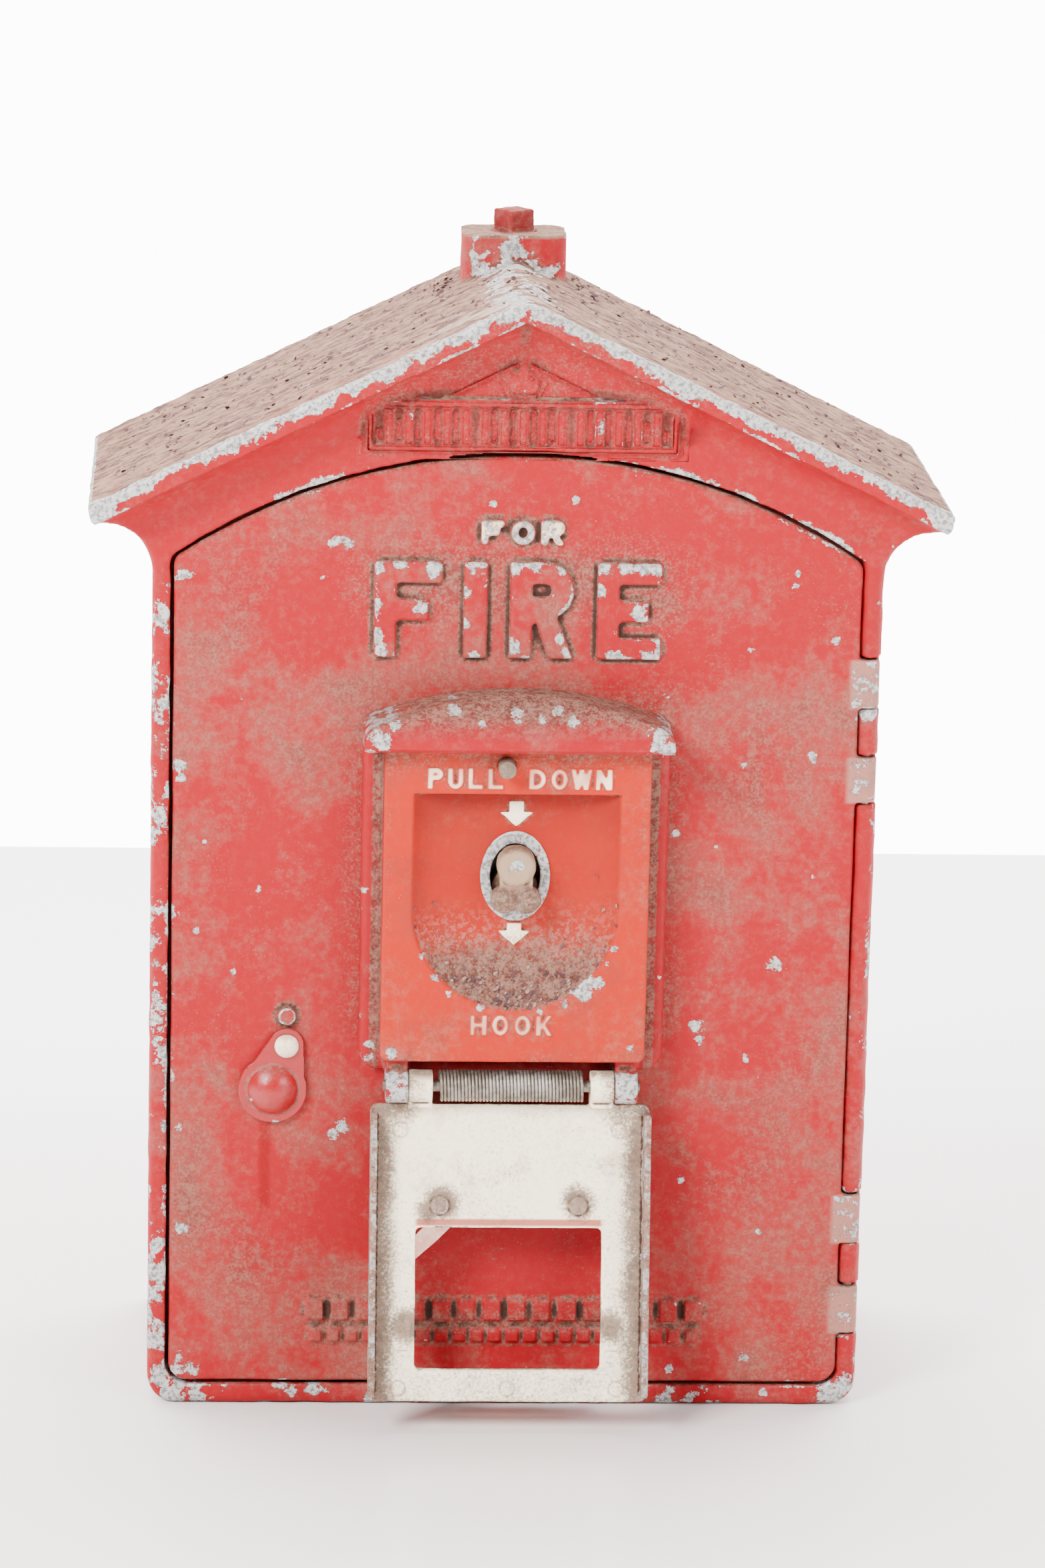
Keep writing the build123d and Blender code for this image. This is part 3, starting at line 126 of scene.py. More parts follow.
def mark_relief(mesh, points, edges, reach):
    """Store how convex ("ridge") and how concave ("hollow") the surface is at each vertex."""
    count = len(points)
    normals = np.empty(count * 3, np.float32)
    mesh.vertex_normals.foreach_get("vector", normals)
    normals = normals.reshape(-1, 3).astype(np.float64)
    mean = points
    for _ in range(reach):
        mean = neighbour_mean(mean, edges, count)
    bulge = np.einsum("ij,ij->i", points - mean, normals)
    for _ in range(2):
        bulge = 0.5 * bulge + 0.5 * neighbour_mean(bulge, edges, count)
    scale = np.percentile(np.abs(bulge), 99) + 1e-9
    for name, sign in (("ridge", 1.0), ("hollow", -1.0)):
        layer = mesh.attributes.new(name, "FLOAT", "POINT")
        layer.data.foreach_set("value", np.clip(sign * bulge / scale, 0, 1).astype(np.float32))


def cast_copy(node, body, voxel, passes=2, dent=0.0, dent_size=0.02, crust=None, seed=1):
    """A finer copy of a CAD node with cast-soft corners, slight dents and its relief marked."""
    piece = link(bpy.data.objects.new(node + "_cast", frame["nodes"][node].data.copy()))
    piece.data.materials.clear()
    remesh = piece.modifiers.new("remesh", "REMESH")
    remesh.mode = "VOXEL"
    remesh.voxel_size = voxel
    mesh = evaluated_copy(piece)
    piece.modifiers.clear()
    piece.data = mesh
    edges = read_edges(mesh)
    points = smooth_points(read_points(mesh), edges, passes)
    normals = np.empty(len(points) * 3, np.float32)
    mesh.vertex_normals.foreach_get("vector", normals)
    normals = normals.reshape(-1, 3)
    height = dent * dents(points, dent_size, seed)
    if crust is not None:
        height = height + crust(points, normals)
    points = points + normals * height[:, None]
    mesh.vertices.foreach_set("co", points.astype(np.float32).ravel())
    mesh.update()
    mark_relief(mesh, points, edges, 3)
    mesh.polygons.foreach_set("use_smooth", np.ones(len(mesh.polygons), bool))
    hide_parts(node)
    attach(piece, body)
    return piece


def fine_region(node, body, low, high, voxel):
    """A finer copy of one box-shaped region of a CAD node, for small relief on a large casting."""
    mesh = frame["nodes"][node].data.copy()
    work = bmesh.new()
    work.from_mesh(mesh)
    for axis in range(3):
        for corner, sign in ((low, -1), (high, 1)):
            normal = [0.0, 0.0, 0.0]
            normal[axis] = sign
            cut = bmesh.ops.bisect_plane(work, geom=work.verts[:] + work.edges[:] + work.faces[:], plane_co=corner,
                                         plane_no=normal, clear_outer=True)
            rim = [e for e in cut["geom_cut"] if isinstance(e, bmesh.types.BMEdge)]
            bmesh.ops.contextual_create(work, geom=rim)
    work.to_mesh(mesh)
    work.free()
    piece = link(bpy.data.objects.new(node + "_relief", mesh))
    mesh.materials.clear()
    remesh = piece.modifiers.new("remesh", "REMESH")
    remesh.mode = "VOXEL"
    remesh.voxel_size = voxel
    mesh = evaluated_copy(piece)
    piece.modifiers.clear()
    piece.data = mesh
    edges = read_edges(mesh)
    points = smooth_points(read_points(mesh), edges, 2)
    mesh.vertices.foreach_set("co", points.astype(np.float32).ravel())
    mesh.update()
    mark_relief(mesh, points, edges, 3)
    mesh.polygons.foreach_set("use_smooth", np.ones(len(mesh.polygons), bool))
    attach(piece, body)
    return piece


def roof_crust(points, normals):
    """A thin lumpy crust on the roof; the coarse face sinks where the fine relief stands in its place."""
    top = (normals[:, 2] > 0.5) & (points[:, 2] > 0.338)
    lumps = dents(points, 0.007, 61) + 0.8 * dents(points, 0.0035, 62)
    inset = np.minimum(0.061 - np.abs(points[:, 0]), np.minimum(points[:, 2] - 0.3665, 0.4055 - points[:, 2]))
    sink = np.clip(inset / (4 * MM), 0, 1) * ((points[:, 1] > -0.0745) & (points[:, 1] < -0.055) & (normals[:, 1] < -0.2))
    return np.where(top, 0.16 * MM * lumps, -0.7 * MM * sink)


def flakes(name, body, places, material, seed):
    """Loose flakes of paint: thin ragged plates that lie at (point, normal, size) places."""
    rng = np.random.default_rng(seed)
    verts, faces = [], []
    for point, normal, size in places:
        tilt = Vector(normal) + 0.35 * Vector(rng.normal(size=3))
        across = tilt.orthogonal().normalized()
        along = tilt.normalized().cross(across)
        corners = int(rng.integers(4, 7))
        start = rng.uniform(0, 2 * pi)
        first = len(verts)
        for lift in (0.0, 0.16 * MM):
            for k in range(corners):
                angle = start + 2 * pi * k / corners
                reach = size * rng.uniform(0.55, 1.0) if lift == 0 else 0.0
                if lift == 0:
                    spot = Vector(point) + reach * (cos(angle) * across + 0.7 * sin(angle) * along)
                else:
                    spot = Vector(verts[first + k]) + lift * tilt.normalized()
                verts.append(tuple(spot))
        low = list(range(first, first + corners))
        high = list(range(first + corners, first + 2 * corners))
        faces.append(tuple(reversed(low)))
        faces.append(tuple(high))
        for k in range(corners):
            n = (k + 1) % corners
            faces.append((low[k], low[n], high[n], high[k]))
    mesh = bpy.data.meshes.new(name)
    mesh.from_pydata(verts, [], faces)
    mesh.materials.append(material)
    piece = link(bpy.data.objects.new(name, mesh))
    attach(piece, body)
    return piece


def tube_along(name, points, radius, sides=8, closed_ends=True):
    """A round wire that follows a list of points."""
    mesh = bpy.data.meshes.new(name)
    path = [Vector(p) for p in points]
    verts, faces = [], []
    side_dir = None
    for k, point in enumerate(path):
        ahead = (path[min(k + 1, len(path) - 1)] - path[max(k - 1, 0)]).normalized()
        if side_dir is None:
            side_dir = ahead.orthogonal().normalized()
        side_dir = (side_dir - ahead * side_dir.dot(ahead)).normalized()
        up = ahead.cross(side_dir)
        for s in range(sides):
            angle = 2 * pi * s / sides
            verts.append(point + radius * (cos(angle) * side_dir + sin(angle) * up))
    for k in range(len(path) - 1):
        for s in range(sides):
            a, b = k * sides + s, k * sides + (s + 1) % sides
            faces.append((a, b, b + sides, a + sides))
    if closed_ends:
        faces.append(tuple(range(sides - 1, -1, -1)))
        last = (len(path) - 1) * sides
        faces.append(tuple(range(last, last + sides)))
    mesh.from_pydata([tuple(v) for v in verts], [], faces)
    mesh.polygons.foreach_set("use_smooth", np.ones(len(mesh.polygons), bool))
    return link(bpy.data.objects.new(name, mesh))


def coil_points(centre, axis, r, length, turns, steps=20, start=0.0):
    """Points of a helix about an axis ('x', 'y' or 'z'), centred on a point."""
    points = []
    for k in range(int(turns * steps) + 1):
        angle = start + 2 * pi * k / steps
        along = length * (k / (turns * steps) - 0.5)
        ring = (r * cos(angle), r * sin(angle))
        offset = {"x": (along, *ring), "y": (ring[0], along, ring[1]), "z": (*ring, along)}[axis]
        points.append(Vector(centre) + Vector(offset))
    return points


# ---------------------------------------------------------------- shader helpers

class Shader:
    """A small writer for one material's node tree."""

    def __init__(self, name):
        self.material = bpy.data.materials.new(name)
        self.material.use_nodes = True
        self.tree = self.material.node_tree
        self.tree.nodes.clear()
        self.output = self.tree.nodes.new("ShaderNodeOutputMaterial")
        self.bsdf = self.tree.nodes.new("ShaderNodeBsdfPrincipled")
        self.tree.links.new(self.bsdf.outputs[0], self.output.inputs[0])
        self.place = self.tree.nodes.new("ShaderNodeTexCoord").outputs["Object"]
        split = self.tree.nodes.new("ShaderNodeSeparateXYZ")
        self.tree.links.new(self.place, split.inputs[0])
        self.x, self.y, self.z = split.outputs
        geometry = self.tree.nodes.new("ShaderNodeNewGeometry")
        facing = self.tree.nodes.new("ShaderNodeSeparateXYZ")
        normal = self.tree.nodes.new("ShaderNodeTexCoord").outputs["Normal"]
        self.tree.links.new(normal, facing.inputs[0])
        self.nx, self.ny, self.nz = facing.outputs
        self.geometry = geometry

    def feed(self, socket, value):
        """Link an output to a socket, or set a plain value on it."""
        if isinstance(value, bpy.types.NodeSocket):
            self.tree.links.new(value, socket)
        elif isinstance(value, (tuple, list)) and len(value) == 3 and len(socket.default_value) == 4:
            socket.default_value = (*value, 1.0)
        else:
            socket.default_value = value

    def math(self, operation, a, b=0.0, c=0.0, clamp=False):
        """One arithmetic step."""
        node = self.tree.nodes.new("ShaderNodeMath")
        node.operation = operation
        node.use_clamp = clamp
        for socket, value in zip(node.inputs, (a, b, c)):
            self.feed(socket, value)
        return node.outputs[0]

    def add(self, *terms):
        """Sum of several values."""
        total = terms[0]
        for term in terms[1:]:
            total = self.math("ADD", total, term)
        return total

    def times(self, *terms):
        """Product of several values."""
        total = terms[0]
        for term in terms[1:]:
            total = self.math("MULTIPLY", total, term)
        return total

    def most(self, *terms):
        """Largest of several values."""
        total = terms[0]
        for term in terms[1:]:
            total = self.math("MAXIMUM", total, term)
        return total

    def step(self, value, low, high):
        """A soft step from 0 at low to 1 at high; falls instead if high is below low."""
        node = self.tree.nodes.new("ShaderNodeMapRange")
        node.interpolation_type = "SMOOTHSTEP"
        self.feed(node.inputs["Value"], value)
        rising = low <= high
        node.inputs["From Min"].default_value = min(low, high)
        node.inputs["From Max"].default_value = max(low, high)
        node.inputs["To Min"].default_value = 0.0 if rising else 1.0
        node.inputs["To Max"].default_value = 1.0 if rising else 0.0
        return node.outputs[0]

    def noise(self, size, detail=4.0, rough=0.55, stretch=(1, 1, 1), shift=0.0, warp=0.0, place=None):
        """Fractal noise whose main features are about this many metres across."""
        node = self.tree.nodes.new("ShaderNodeTexNoise")
        mapping = self.tree.nodes.new("ShaderNodeMapping")
        mapping.inputs["Scale"].default_value = stretch
        mapping.inputs["Location"].default_value = (shift, shift * 0.7, shift * 1.3)
        self.tree.links.new(place or self.place, mapping.inputs["Vector"])
        self.tree.links.new(mapping.outputs[0], node.inputs["Vector"])
        node.inputs["Scale"].default_value = 1.0 / size
        node.inputs["Detail"].default_value = detail
        node.inputs["Roughness"].default_value = rough
        node.inputs["Distortion"].default_value = warp
        return node.outputs[0]

    def cells(self, size, feature="F1", randomness=1.0, shift=0.0):
        """Distance to scattered points about this far apart."""
        node = self.tree.nodes.new("ShaderNodeTexVoronoi")
        node.feature = feature
        mapping = self.tree.nodes.new("ShaderNodeMapping")
        mapping.inputs["Location"].default_value = (shift, shift, shift)
        self.tree.links.new(self.place, mapping.inputs["Vector"])
        self.tree.links.new(mapping.outputs[0], node.inputs["Vector"])
        node.inputs["Scale"].default_value = 1.0 / size
        node.inputs["Randomness"].default_value = randomness
        return node.outputs[0]

    def layer(self, name):
        """A value stored on the mesh."""
        node = self.tree.nodes.new("ShaderNodeAttribute")
        node.attribute_name = name
        return node.outputs["Fac"]

    def blend(self, share, low, high):
        """Mix two colours by a share."""
        node = self.tree.nodes.new("ShaderNodeMix")
        node.data_type = "RGBA"
        self.feed(node.inputs["Factor"], share)
        self.feed(node.inputs[6], low)
        self.feed(node.inputs[7], high)
        return node.outputs[2]

    def value_mix(self, share, low, high):
        """Mix two numbers by a share."""
        node = self.tree.nodes.new("ShaderNodeMix")
        self.feed(node.inputs["Factor"], share)
        self.feed(node.inputs[2], low)
        self.feed(node.inputs[3], high)
        return node.outputs[0]

    def far(self, value):
        """Distance from the middle plane of the object, along one coordinate."""
        return self.math("ABSOLUTE", value)

    def between(self, value, low, high, soft=0.8):
        """1 where a coordinate lies between two lengths in mm, with soft ends."""
        rise = self.step(value, (low - soft) * MM, (low + soft) * MM)
        return self.times(rise, self.step(value, (high + soft) * MM, (high - soft) * MM))

    def spots(self, places):
        """1 at the middle of each (x, z, reach) place in mm on the front, 0 beyond its reach."""
        total = None
        for px, pz, reach in places:
            dx = self.math("MULTIPLY_ADD", self.x, 1.0, -px * MM)
            dz = self.math("MULTIPLY_ADD", self.z, 1.0, -pz * MM)
            far = self.math("SQRT", self.add(self.math("MULTIPLY", dx, dx), self.math("MULTIPLY", dz, dz)))
            near = self.math("MULTIPLY_ADD", far, -1.0 / (reach * MM), 1.0, clamp=True)
            total = near if total is None else self.math("MAXIMUM", total, near)
        return total if total is not None else 0.0

    def bump(self, height, strength, distance, under=None):
        """Turn a height into a normal."""
        node = self.tree.nodes.new("ShaderNodeBump")
        node.inputs["Strength"].default_value = strength
        node.inputs["Distance"].default_value = distance
        self.feed(node.inputs["Height"], height)
        if under is not None:
            self.tree.links.new(under, node.inputs["Normal"])
        return node.outputs[0]

    def finish(self, color, roughness, metallic=0.0, normal=None):
        """Connect the surface."""
        self.feed(self.bsdf.inputs["Base Color"], color)
        self.feed(self.bsdf.inputs["Roughness"], roughness)
        self.feed(self.bsdf.inputs["Metallic"], metallic)
        if normal is not None:
            self.tree.links.new(normal, self.bsdf.inputs["Normal"])
        return self.material


# ---------------------------------------------------------------- paint

# Dust colours; the dark one also gives the painted shade in deep hollows.
DUST = (0.20, 0.112, 0.080)
DARK_DUST_AND_SHADE = (0.062, 0.026, 0.020)
METAL_PALE = (0.44, 0.43, 0.42)
METAL_DARK = (0.15, 0.145, 0.14)
RED = (0.27, 0.0040, 0.0090)
FADED = (0.275, 0.033, 0.031)
ORANGE = (0.36, 0.014, 0.0045)
CREAM = (0.90, 0.76, 0.53)


def no_zones(s):
    """A casting with no special places."""
    return {}


def weathered_paint(name, rich, faded, wear=0.5, grime_and_shade=0.5, chips=(), fade=0.5, speckle=0.5,
                    chip_size=0.006, gloss=0.50, sheen=0.10, zones=no_zones, under=(0.17, 0.005, 0.006)):
    """Old enamel on a casting: faded patches, dust, grime in hollows with painted shade deep in them, chips down to
    bare metal.
    """
    s = Shader(name)
    s.bsdf.inputs["Specular IOR Level"].default_value = sheen
    zone = zones(s)
    ridge = s.layer("ridge")
    hollow = s.layer("hollow")
    broad = s.noise(0.075, 5, 0.6, shift=3.1, warp=0.6)
    patch = s.noise(0.022, 6, 0.62, shift=7.7, warp=0.4)
    fine = s.noise(0.0035, 5, 0.7, shift=1.3)
    grain = s.noise(0.0011, 3, 0.7, shift=5.2)
    dusting = s.add(s.times(broad, 0.6), s.times(patch, 0.4))
    worn = s.step(s.add(dusting, s.times(fine, 0.22), -0.11), 0.62 - 0.25 * fade, 0.74 - 0.2 * fade)
    if "rich" in zone:
        worn = s.times(worn, s.math("SUBTRACT", 1.0, zone["rich"]))
    tone = s.blend(worn, rich, faded)
    tone = s.blend(s.times(s.step(patch, 0.55, 0.75), 0.35), tone, under)
    tone = s.blend(s.times(s.step(fine, 0.42, 0.66), 0.22), tone, faded)
    for mask, color in zone.get("colors", ()):
        tone = s.blend(mask, tone, color)

    specks = s.step(grain, 0.70 - 0.12 * speckle, 0.76)
    veil = s.times(s.step(s.add(dusting, s.times(fine, 0.35)), 0.62, 0.88), 0.55 * speckle)
    dust_and_shade = s.most(s.times(specks, s.step(patch, 0.36, 0.62), 0.8 * speckle), veil)
    dirt = s.times(s.step(s.add(s.times(hollow, 1.5), s.times(fine, 0.4)), 0.38, 0.95), grime_and_shade)
    top = s.times(s.step(s.nz, 0.35, 0.9), s.step(s.add(fine, s.times(patch, 0.6)), 0.5, 0.85), grime_and_shade)
    dust_and_shade = s.math("MAXIMUM", dust_and_shade, s.most(dirt, top))
    # A zone's dust mask holds real dust and, on the cover, painted shadows, all laid on in dust colour.
    if "dust_and_shade" in zone:
        settled = s.add(s.times(zone["dust_and_shade"], 0.62), s.times(patch, 0.45), s.times(grain, 0.75))
        dust_and_shade = s.most(dust_and_shade, s.times(s.step(settled, 0.78, 1.15), 0.9))
    # Dust colour, which also colours the painted shadows that come in through the dust mask.
    dust_and_shade_color = s.blend(s.step(s.add(s.times(fine, 0.5), s.times(grain, 0.5)), 0.40, 0.60), DARK_DUST_AND_SHADE, DUST)
    tone = s.blend(dust_and_shade, tone, dust_and_shade_color)
    # Painted shade: the deepest hollows are darkened towards near-black, as shade would fall there; its strength
    # follows the grime setting.
    tone = s.blend(s.times(s.step(hollow, 0.30, 0.85), grime_and_shade), tone, tuple(0.45 * v for v in DARK_DUST_AND_SHADE))

    edge_noise = s.math("MULTIPLY_ADD", s.noise(chip_size, 7, 0.75, shift=11.0), 1.7, -0.35)
    spread = s.noise(0.030, 3, 0.5, shift=17.0)
    edge_drive = s.times(ridge, s.step(spread, 0.62 - 0.3 * wear, 0.80 - 0.2 * wear), 0.62)
    random_drive = s.times(s.step(s.noise(0.010, 2, 0.5, shift=23.0), 0.70, 0.80), 0.36)
    drive = s.most(edge_drive, random_drive)
    if "calm" in zone:
        drive = s.times(drive, s.math("SUBTRACT", 1.0, zone["calm"]))
    drive = s.most(drive, s.times(s.spots(chips), 0.60))
    if "bare" in zone:
        drive = s.most(drive, s.times(zone["bare"], 0.60))
    drive = s.add(drive, edge_noise)
    chip = s.step(drive, 0.865, 0.885)
    rim = s.math("SUBTRACT", s.step(drive, 0.835, 0.86), chip, clamp=True)
    pits = s.noise(0.0016, 4, 0.7, shift=31.0)
    bare = s.blend(s.step(pits, 0.36, 0.58), METAL_DARK, METAL_PALE)
    bare = s.blend(s.times(dust_and_shade, 0.3), bare, DUST)
    tone = s.blend(s.times(rim, 0.8), tone, under)
    tone = s.blend(chip, tone, bare)

    rough = s.value_mix(dust_and_shade, gloss, 0.92)
    rough = s.math("ADD", rough, s.times(s.math("SUBTRACT", fine, 0.5), 0.25))
    rough = s.value_mix(chip, rough, s.value_mix(pits, 0.65, 0.45))
    metallic = s.times(chip, 0.35)
    height = s.math("MULTIPLY_ADD", chip, -1.0, s.times(fine, 0.22))
    skin = s.bump(height, 0.55, 0.0006)
    skin = s.bump(s.add(s.times(grain, 0.6), s.times(dust_and_shade, grain)), 0.35, 0.0005, skin)
    return s.finish(tone, rough, metallic, skin)


def case_zones(s):
    """Roof crust, the bare front edge of the roof, worn rims and the chipped boss."""
    depth = s.math("MULTIPLY_ADD", s.far(s.x), -0.49, 0.428)
    depth = s.math("SUBTRACT", depth, s.z)
    ragged = s.math("SUBTRACT", s.noise(0.011, 5, 0.65, shift=41.0), 0.5)
    upward = s.times(s.step(s.nz, 0.45, 0.65), s.step(s.z, 0.334, 0.340))
    streaks = s.noise(0.0045, 6, 0.75, stretch=(0.30, 1, 1), shift=43.0)
    clumps = s.noise(0.020, 5, 0.7, stretch=(0.45, 1, 1), shift=47.0)
    crust = s.blend(s.step(streaks, 0.41, 0.59), (0.060, 0.025, 0.018), (0.245, 0.138, 0.088))
    flaking = s.step(s.add(s.times(streaks, 0.6), s.times(clumps, 0.5)), 0.525, 0.470)
    crust = s.blend(flaking, crust, (0.040, 0.014, 0.019))
    pale = s.times(s.step(s.y, -0.030, -0.070), s.step(s.far(s.x), 0.080, 0.020),
                   s.step(s.noise(0.013, 4, 0.6, stretch=(0.4, 1, 1), shift=53.0), 0.50, 0.60))
    crust = s.blend(s.times(pale, 0.8), crust, (0.42, 0.33, 0.27))
    red_left = s.times(s.step(s.y, -0.040, -0.075), s.step(clumps, 0.50, 0.62), 0.5)
    crust = s.blend(red_left, crust, (0.22, 0.035, 0.03))
    reach_top = s.math("MULTIPLY_ADD", ragged, 0.012, s.y)
    top_band = s.times(upward, s.step(reach_top, -0.0725, -0.0765))
    tips = s.step(s.far(s.x), 0.142, 0.156)
    reach_low = s.math("MULTIPLY_ADD", ragged, 0.018, s.math("MULTIPLY_ADD", tips, -0.007, depth))
    fascia = s.times(s.step(s.y, -0.0755, -0.0770), s.step(s.z, 0.325, 0.330), s.step(reach_low, 0.0060, 0.0030))
    eave = s.times(s.step(s.far(s.x), 0.1565, 0.158), s.step(s.z, 0.325, 0.330), 0.85)
    front_rim = s.step(s.y, -0.052, -0.060)
    left_rim = s.times(front_rim, s.step(s.x, -0.126, -0.130), s.step(s.z, 0.330, 0.305))
    left_low = s.times(left_rim, s.step(s.z, 0.19, 0.10))
    right_rim = s.times(front_rim, s.step(s.x, 0.131, 0.134), s.step(s.z, 0.33, 0.31), 0.52)
    foot = s.times(s.step(s.z, 0.006, 0.002), s.step(s.y, -0.030, -0.055), 0.62)
    patches = s.step(s.noise(0.022, 4, 0.6, shift=57.0), 0.44, 0.58)
    rims = s.times(s.most(s.times(left_rim, 0.66), s.times(left_low, 0.78), right_rim, foot), patches)
    boss_patches = s.step(s.add(s.noise(0.011, 3, 0.6, shift=67.0), s.times(s.x, -6.0)), 0.40, 0.56)
    boss = s.times(s.step(s.y, 0.022, 0.0185), s.step(s.z, 0.418, 0.424), s.step(s.far(s.x), 0.024, 0.021),
                   boss_patches, 0.95)
    sheltered = s.times(s.step(s.z, 0.300, 0.325), s.step(s.y, -0.040, -0.060))
    relief = s.times(s.step(s.z, 0.360, 0.376), s.step(s.far(s.x), 0.074, 0.050), s.step(s.y, -0.040, -0.060))
    boss_top = s.step(s.z, 0.4355, 0.4365)
    colors = ((upward, crust), (boss_top, (0.20, 0.12, 0.083)))
    return {"bare": s.most(top_band, fascia, eave, rims, boss), "rich": sheltered, "calm": upward,
            "dust_and_shade": s.most(s.times(relief, 0.42), s.times(boss_top, 0.8)), "colors": colors}


LETTER_CHIPS = (
    (-52, 326, 7), (-44, 328, 6), (-32, 326, 6), (-53, 312, 5), (-53, 300, 5), (-36, 311, 5), (-51, 294, 5),
    (-16, 328, 8), (-20, 318, 5), (-20, 305, 4), (-16, 293, 5), (-2, 327, 6), (6, 328.5, 6), (16, 326, 4),
    (-3, 296, 6), (15, 300, 5), (19, 294, 6), (31, 327, 7), (38, 328.5, 7), (46, 328, 7), (51, 326, 5),
    (29.5, 318, 5), (44, 310, 5), (35, 293, 5), (48, 293, 6), (52, 295, 4))
DOOR_CHIPS = (
    (-124, 322, 6), (-68, 336, 6), (-64, 335, 5), (103, 325, 3), (102, 321, 3), (86, 296, 3.5), (-125, 250, 6),
    (-124, 245, 4), (-115, 221, 3.5), (111, 255, 3.5), (100, 175, 5), (97, 174, 4), (70, 150, 6), (71, 146, 5),
    (89, 138, 3), (-63, 111, 7), (-66, 108, 5), (-123, 71, 5), (-120, 14, 9), (-123, 19, 6), (85, 252, 3),
    (-72, 322, 3), (-95, 203, 3), (60, 226, 3), (-104, 171, 2.5), (-118, 186, 3), (112, 210, 3), (66, 90, 3),
    (-123, 110, 4), (96, 70, 3), (20, 352, 3), (-10, 350, 3), (118, 300, 4), (92, 20, 5), (64, 15, 4))


def door_zones(s):
    """Bare letter edges, dust round the words, pale hinge tabs and a run of red under the keyhole."""
    raised = s.step(s.y, -0.0639, -0.0648)
    words = s.times(s.step(s.far(s.x), 0.092, 0.046), s.between(s.z, 298, 342, 18))
    small = s.times(s.step(s.far(s.x), 0.022, 0.019), s.between(s.z, 333, 347, 2), raised)
    bare_letters = s.times(s.spots(LETTER_CHIPS), raised, 1.25)
    around = s.times(words, s.math("SUBTRACT", 1.0, raised))
    hood_side = s.times(s.step(s.far(s.x), 0.080, 0.054), s.between(s.z, 140, 284, 14))
    foot_words = s.times(s.step(s.far(s.x), 0.112, 0.070), s.between(s.z, 28, 42, 9), 0.55)
    tab_rows = s.most(s.between(s.z, 29.3, 48.1), s.between(s.z, 65.4, 84.5),
                      s.between(s.z, 237.8, 255.2), s.between(s.z, 273.8, 292.4))
    tabs = s.times(s.step(s.x, 0.1225, 0.1250), tab_rows)
    wander = s.math("MULTIPLY_ADD", s.noise(0.02, 2, 0.5, stretch=(0, 0, 1)), 0.004, s.x)
    run = s.times(s.between(wander, -91.5, -87.5, 1.2), s.between(s.z, 78, 112, 3))
    swirl = s.times(s.spots(((-96, 318, 34), (-92, 66, 30), (82, 96, 34), (112, 330, 26), (88, 250, 26))), 1.3)
    brown = s.times(s.step(s.x, 0.050, 0.115), s.step(s.noise(0.05, 3, 0.6, shift=71.0), 0.46, 0.60), 0.45)
    colors = ((s.times(tabs, 0.55), (0.34, 0.215, 0.165)), (s.times(run, 0.8), (0.20, 0.002, 0.004)),
              (s.times(small, 0.75), CREAM))
    return {"bare": s.most(bare_letters, s.times(small, 0.62), s.times(tabs, 0.50)), "rich": s.most(run, swirl),
            "dust_and_shade": s.most(s.times(around, 0.62), s.times(hood_side, 0.55), foot_words, brown),
            "colors": colors}


HOUSING_CHIPS = ((-52, 268, 10), (-47, 272, 7), (-55, 262, 6), (52, 267, 10), (55, 261, 6), (-24, 277, 5),
                 (-2, 276, 5), (8, 274, 4), (14, 277, 4), (20, 274, 4), (-14, 273, 3), (-55, 139, 6), (-53, 145, 4),
                 (55, 172, 3), (-56, 205, 3))


def housing_zones(s):
    """Dusty hood and lugs with little paint left."""
    lugs = s.times(s.between(s.far(s.x), 38, 47.5), s.between(s.z, 120, 138, 1), 0.80)
    hood = s.times(s.step(s.z, 0.262, 0.280), s.step(s.nz, 0.05, 0.75), 0.9)
    groove = s.times(s.between(s.far(s.x), 49.4, 53.5, 0.7), s.step(s.z, 0.262, 0.256), 0.75)
    return {"bare": lugs, "dust_and_shade": s.most(hood, groove)}


PLATE_CHIPS = ((30, 173, 6), (25.5, 168.5, 6), (34.5, 180, 5), (19, 164.5, 4), (37, 186, 3.5), (-30, 175, 3.5),
               (-34.5, 183, 3), (-24, 168, 3), (-12, 163, 3), (10, 162, 3), (-45, 146, 4), (44, 148, 3))


def plate_zones(s):
    """Cream words and arrows, the crusted foot of the finger recess, and painted shade inside the recess, darkest
    under its top edge.
    """
    proud = s.step(s.y, -0.0834, -0.0836)
    rows = s.most(s.between(s.z, 246, 256), s.between(s.z, 151.5, 161.5))
    words = s.times(proud, rows, s.step(s.far(s.x), 0.038, 0.036))
    arrows = s.times(s.step(s.far(s.x), 0.0090, 0.0085), s.step(s.y, -0.0747, -0.0749),
                     s.most(s.between(s.z, 231, 241, 0.5), s.between(s.z, 185, 194, 0.5)))
    inside = s.step(s.y, -0.0826, -0.0815)
    low = s.times(inside, s.step(s.z, 0.207, 0.172))
    crystals = s.times(low, s.step(s.noise(0.0022, 5, 0.75, shift=83.0), 0.50, 0.56), 0.75)
    stains = s.times(s.step(s.noise(0.018, 5, 0.65, shift=91.0), 0.48, 0.66), 0.5)
    # Painted shadow below the top edge of the recess.
    recess_top_shadow = s.times(inside, s.step(s.z, 0.222, 0.242), 0.5)
    # Painted shade darkens the whole recess floor; the stains, crystals and cream words are real colour.
    colors = ((stains, (0.24, 0.026, 0.018)), (s.times(inside, 0.45), (0.23, 0.008, 0.004)),
              (recess_top_shadow, (0.15, 0.006, 0.004)), (crystals, (0.30, 0.18, 0.145)), (s.most(words, arrows), CREAM))
    rim = s.times(s.between(s.far(s.x), 45, 49, 2), 0.35)
    head = s.times(s.step(s.z, 0.244, 0.260), 0.6)
    foot = s.times(s.step(s.z, 0.152, 0.142), 0.45)
    return {"dust_and_shade": s.most(s.times(low, 0.95), rim, head, foot), "colors": colors}


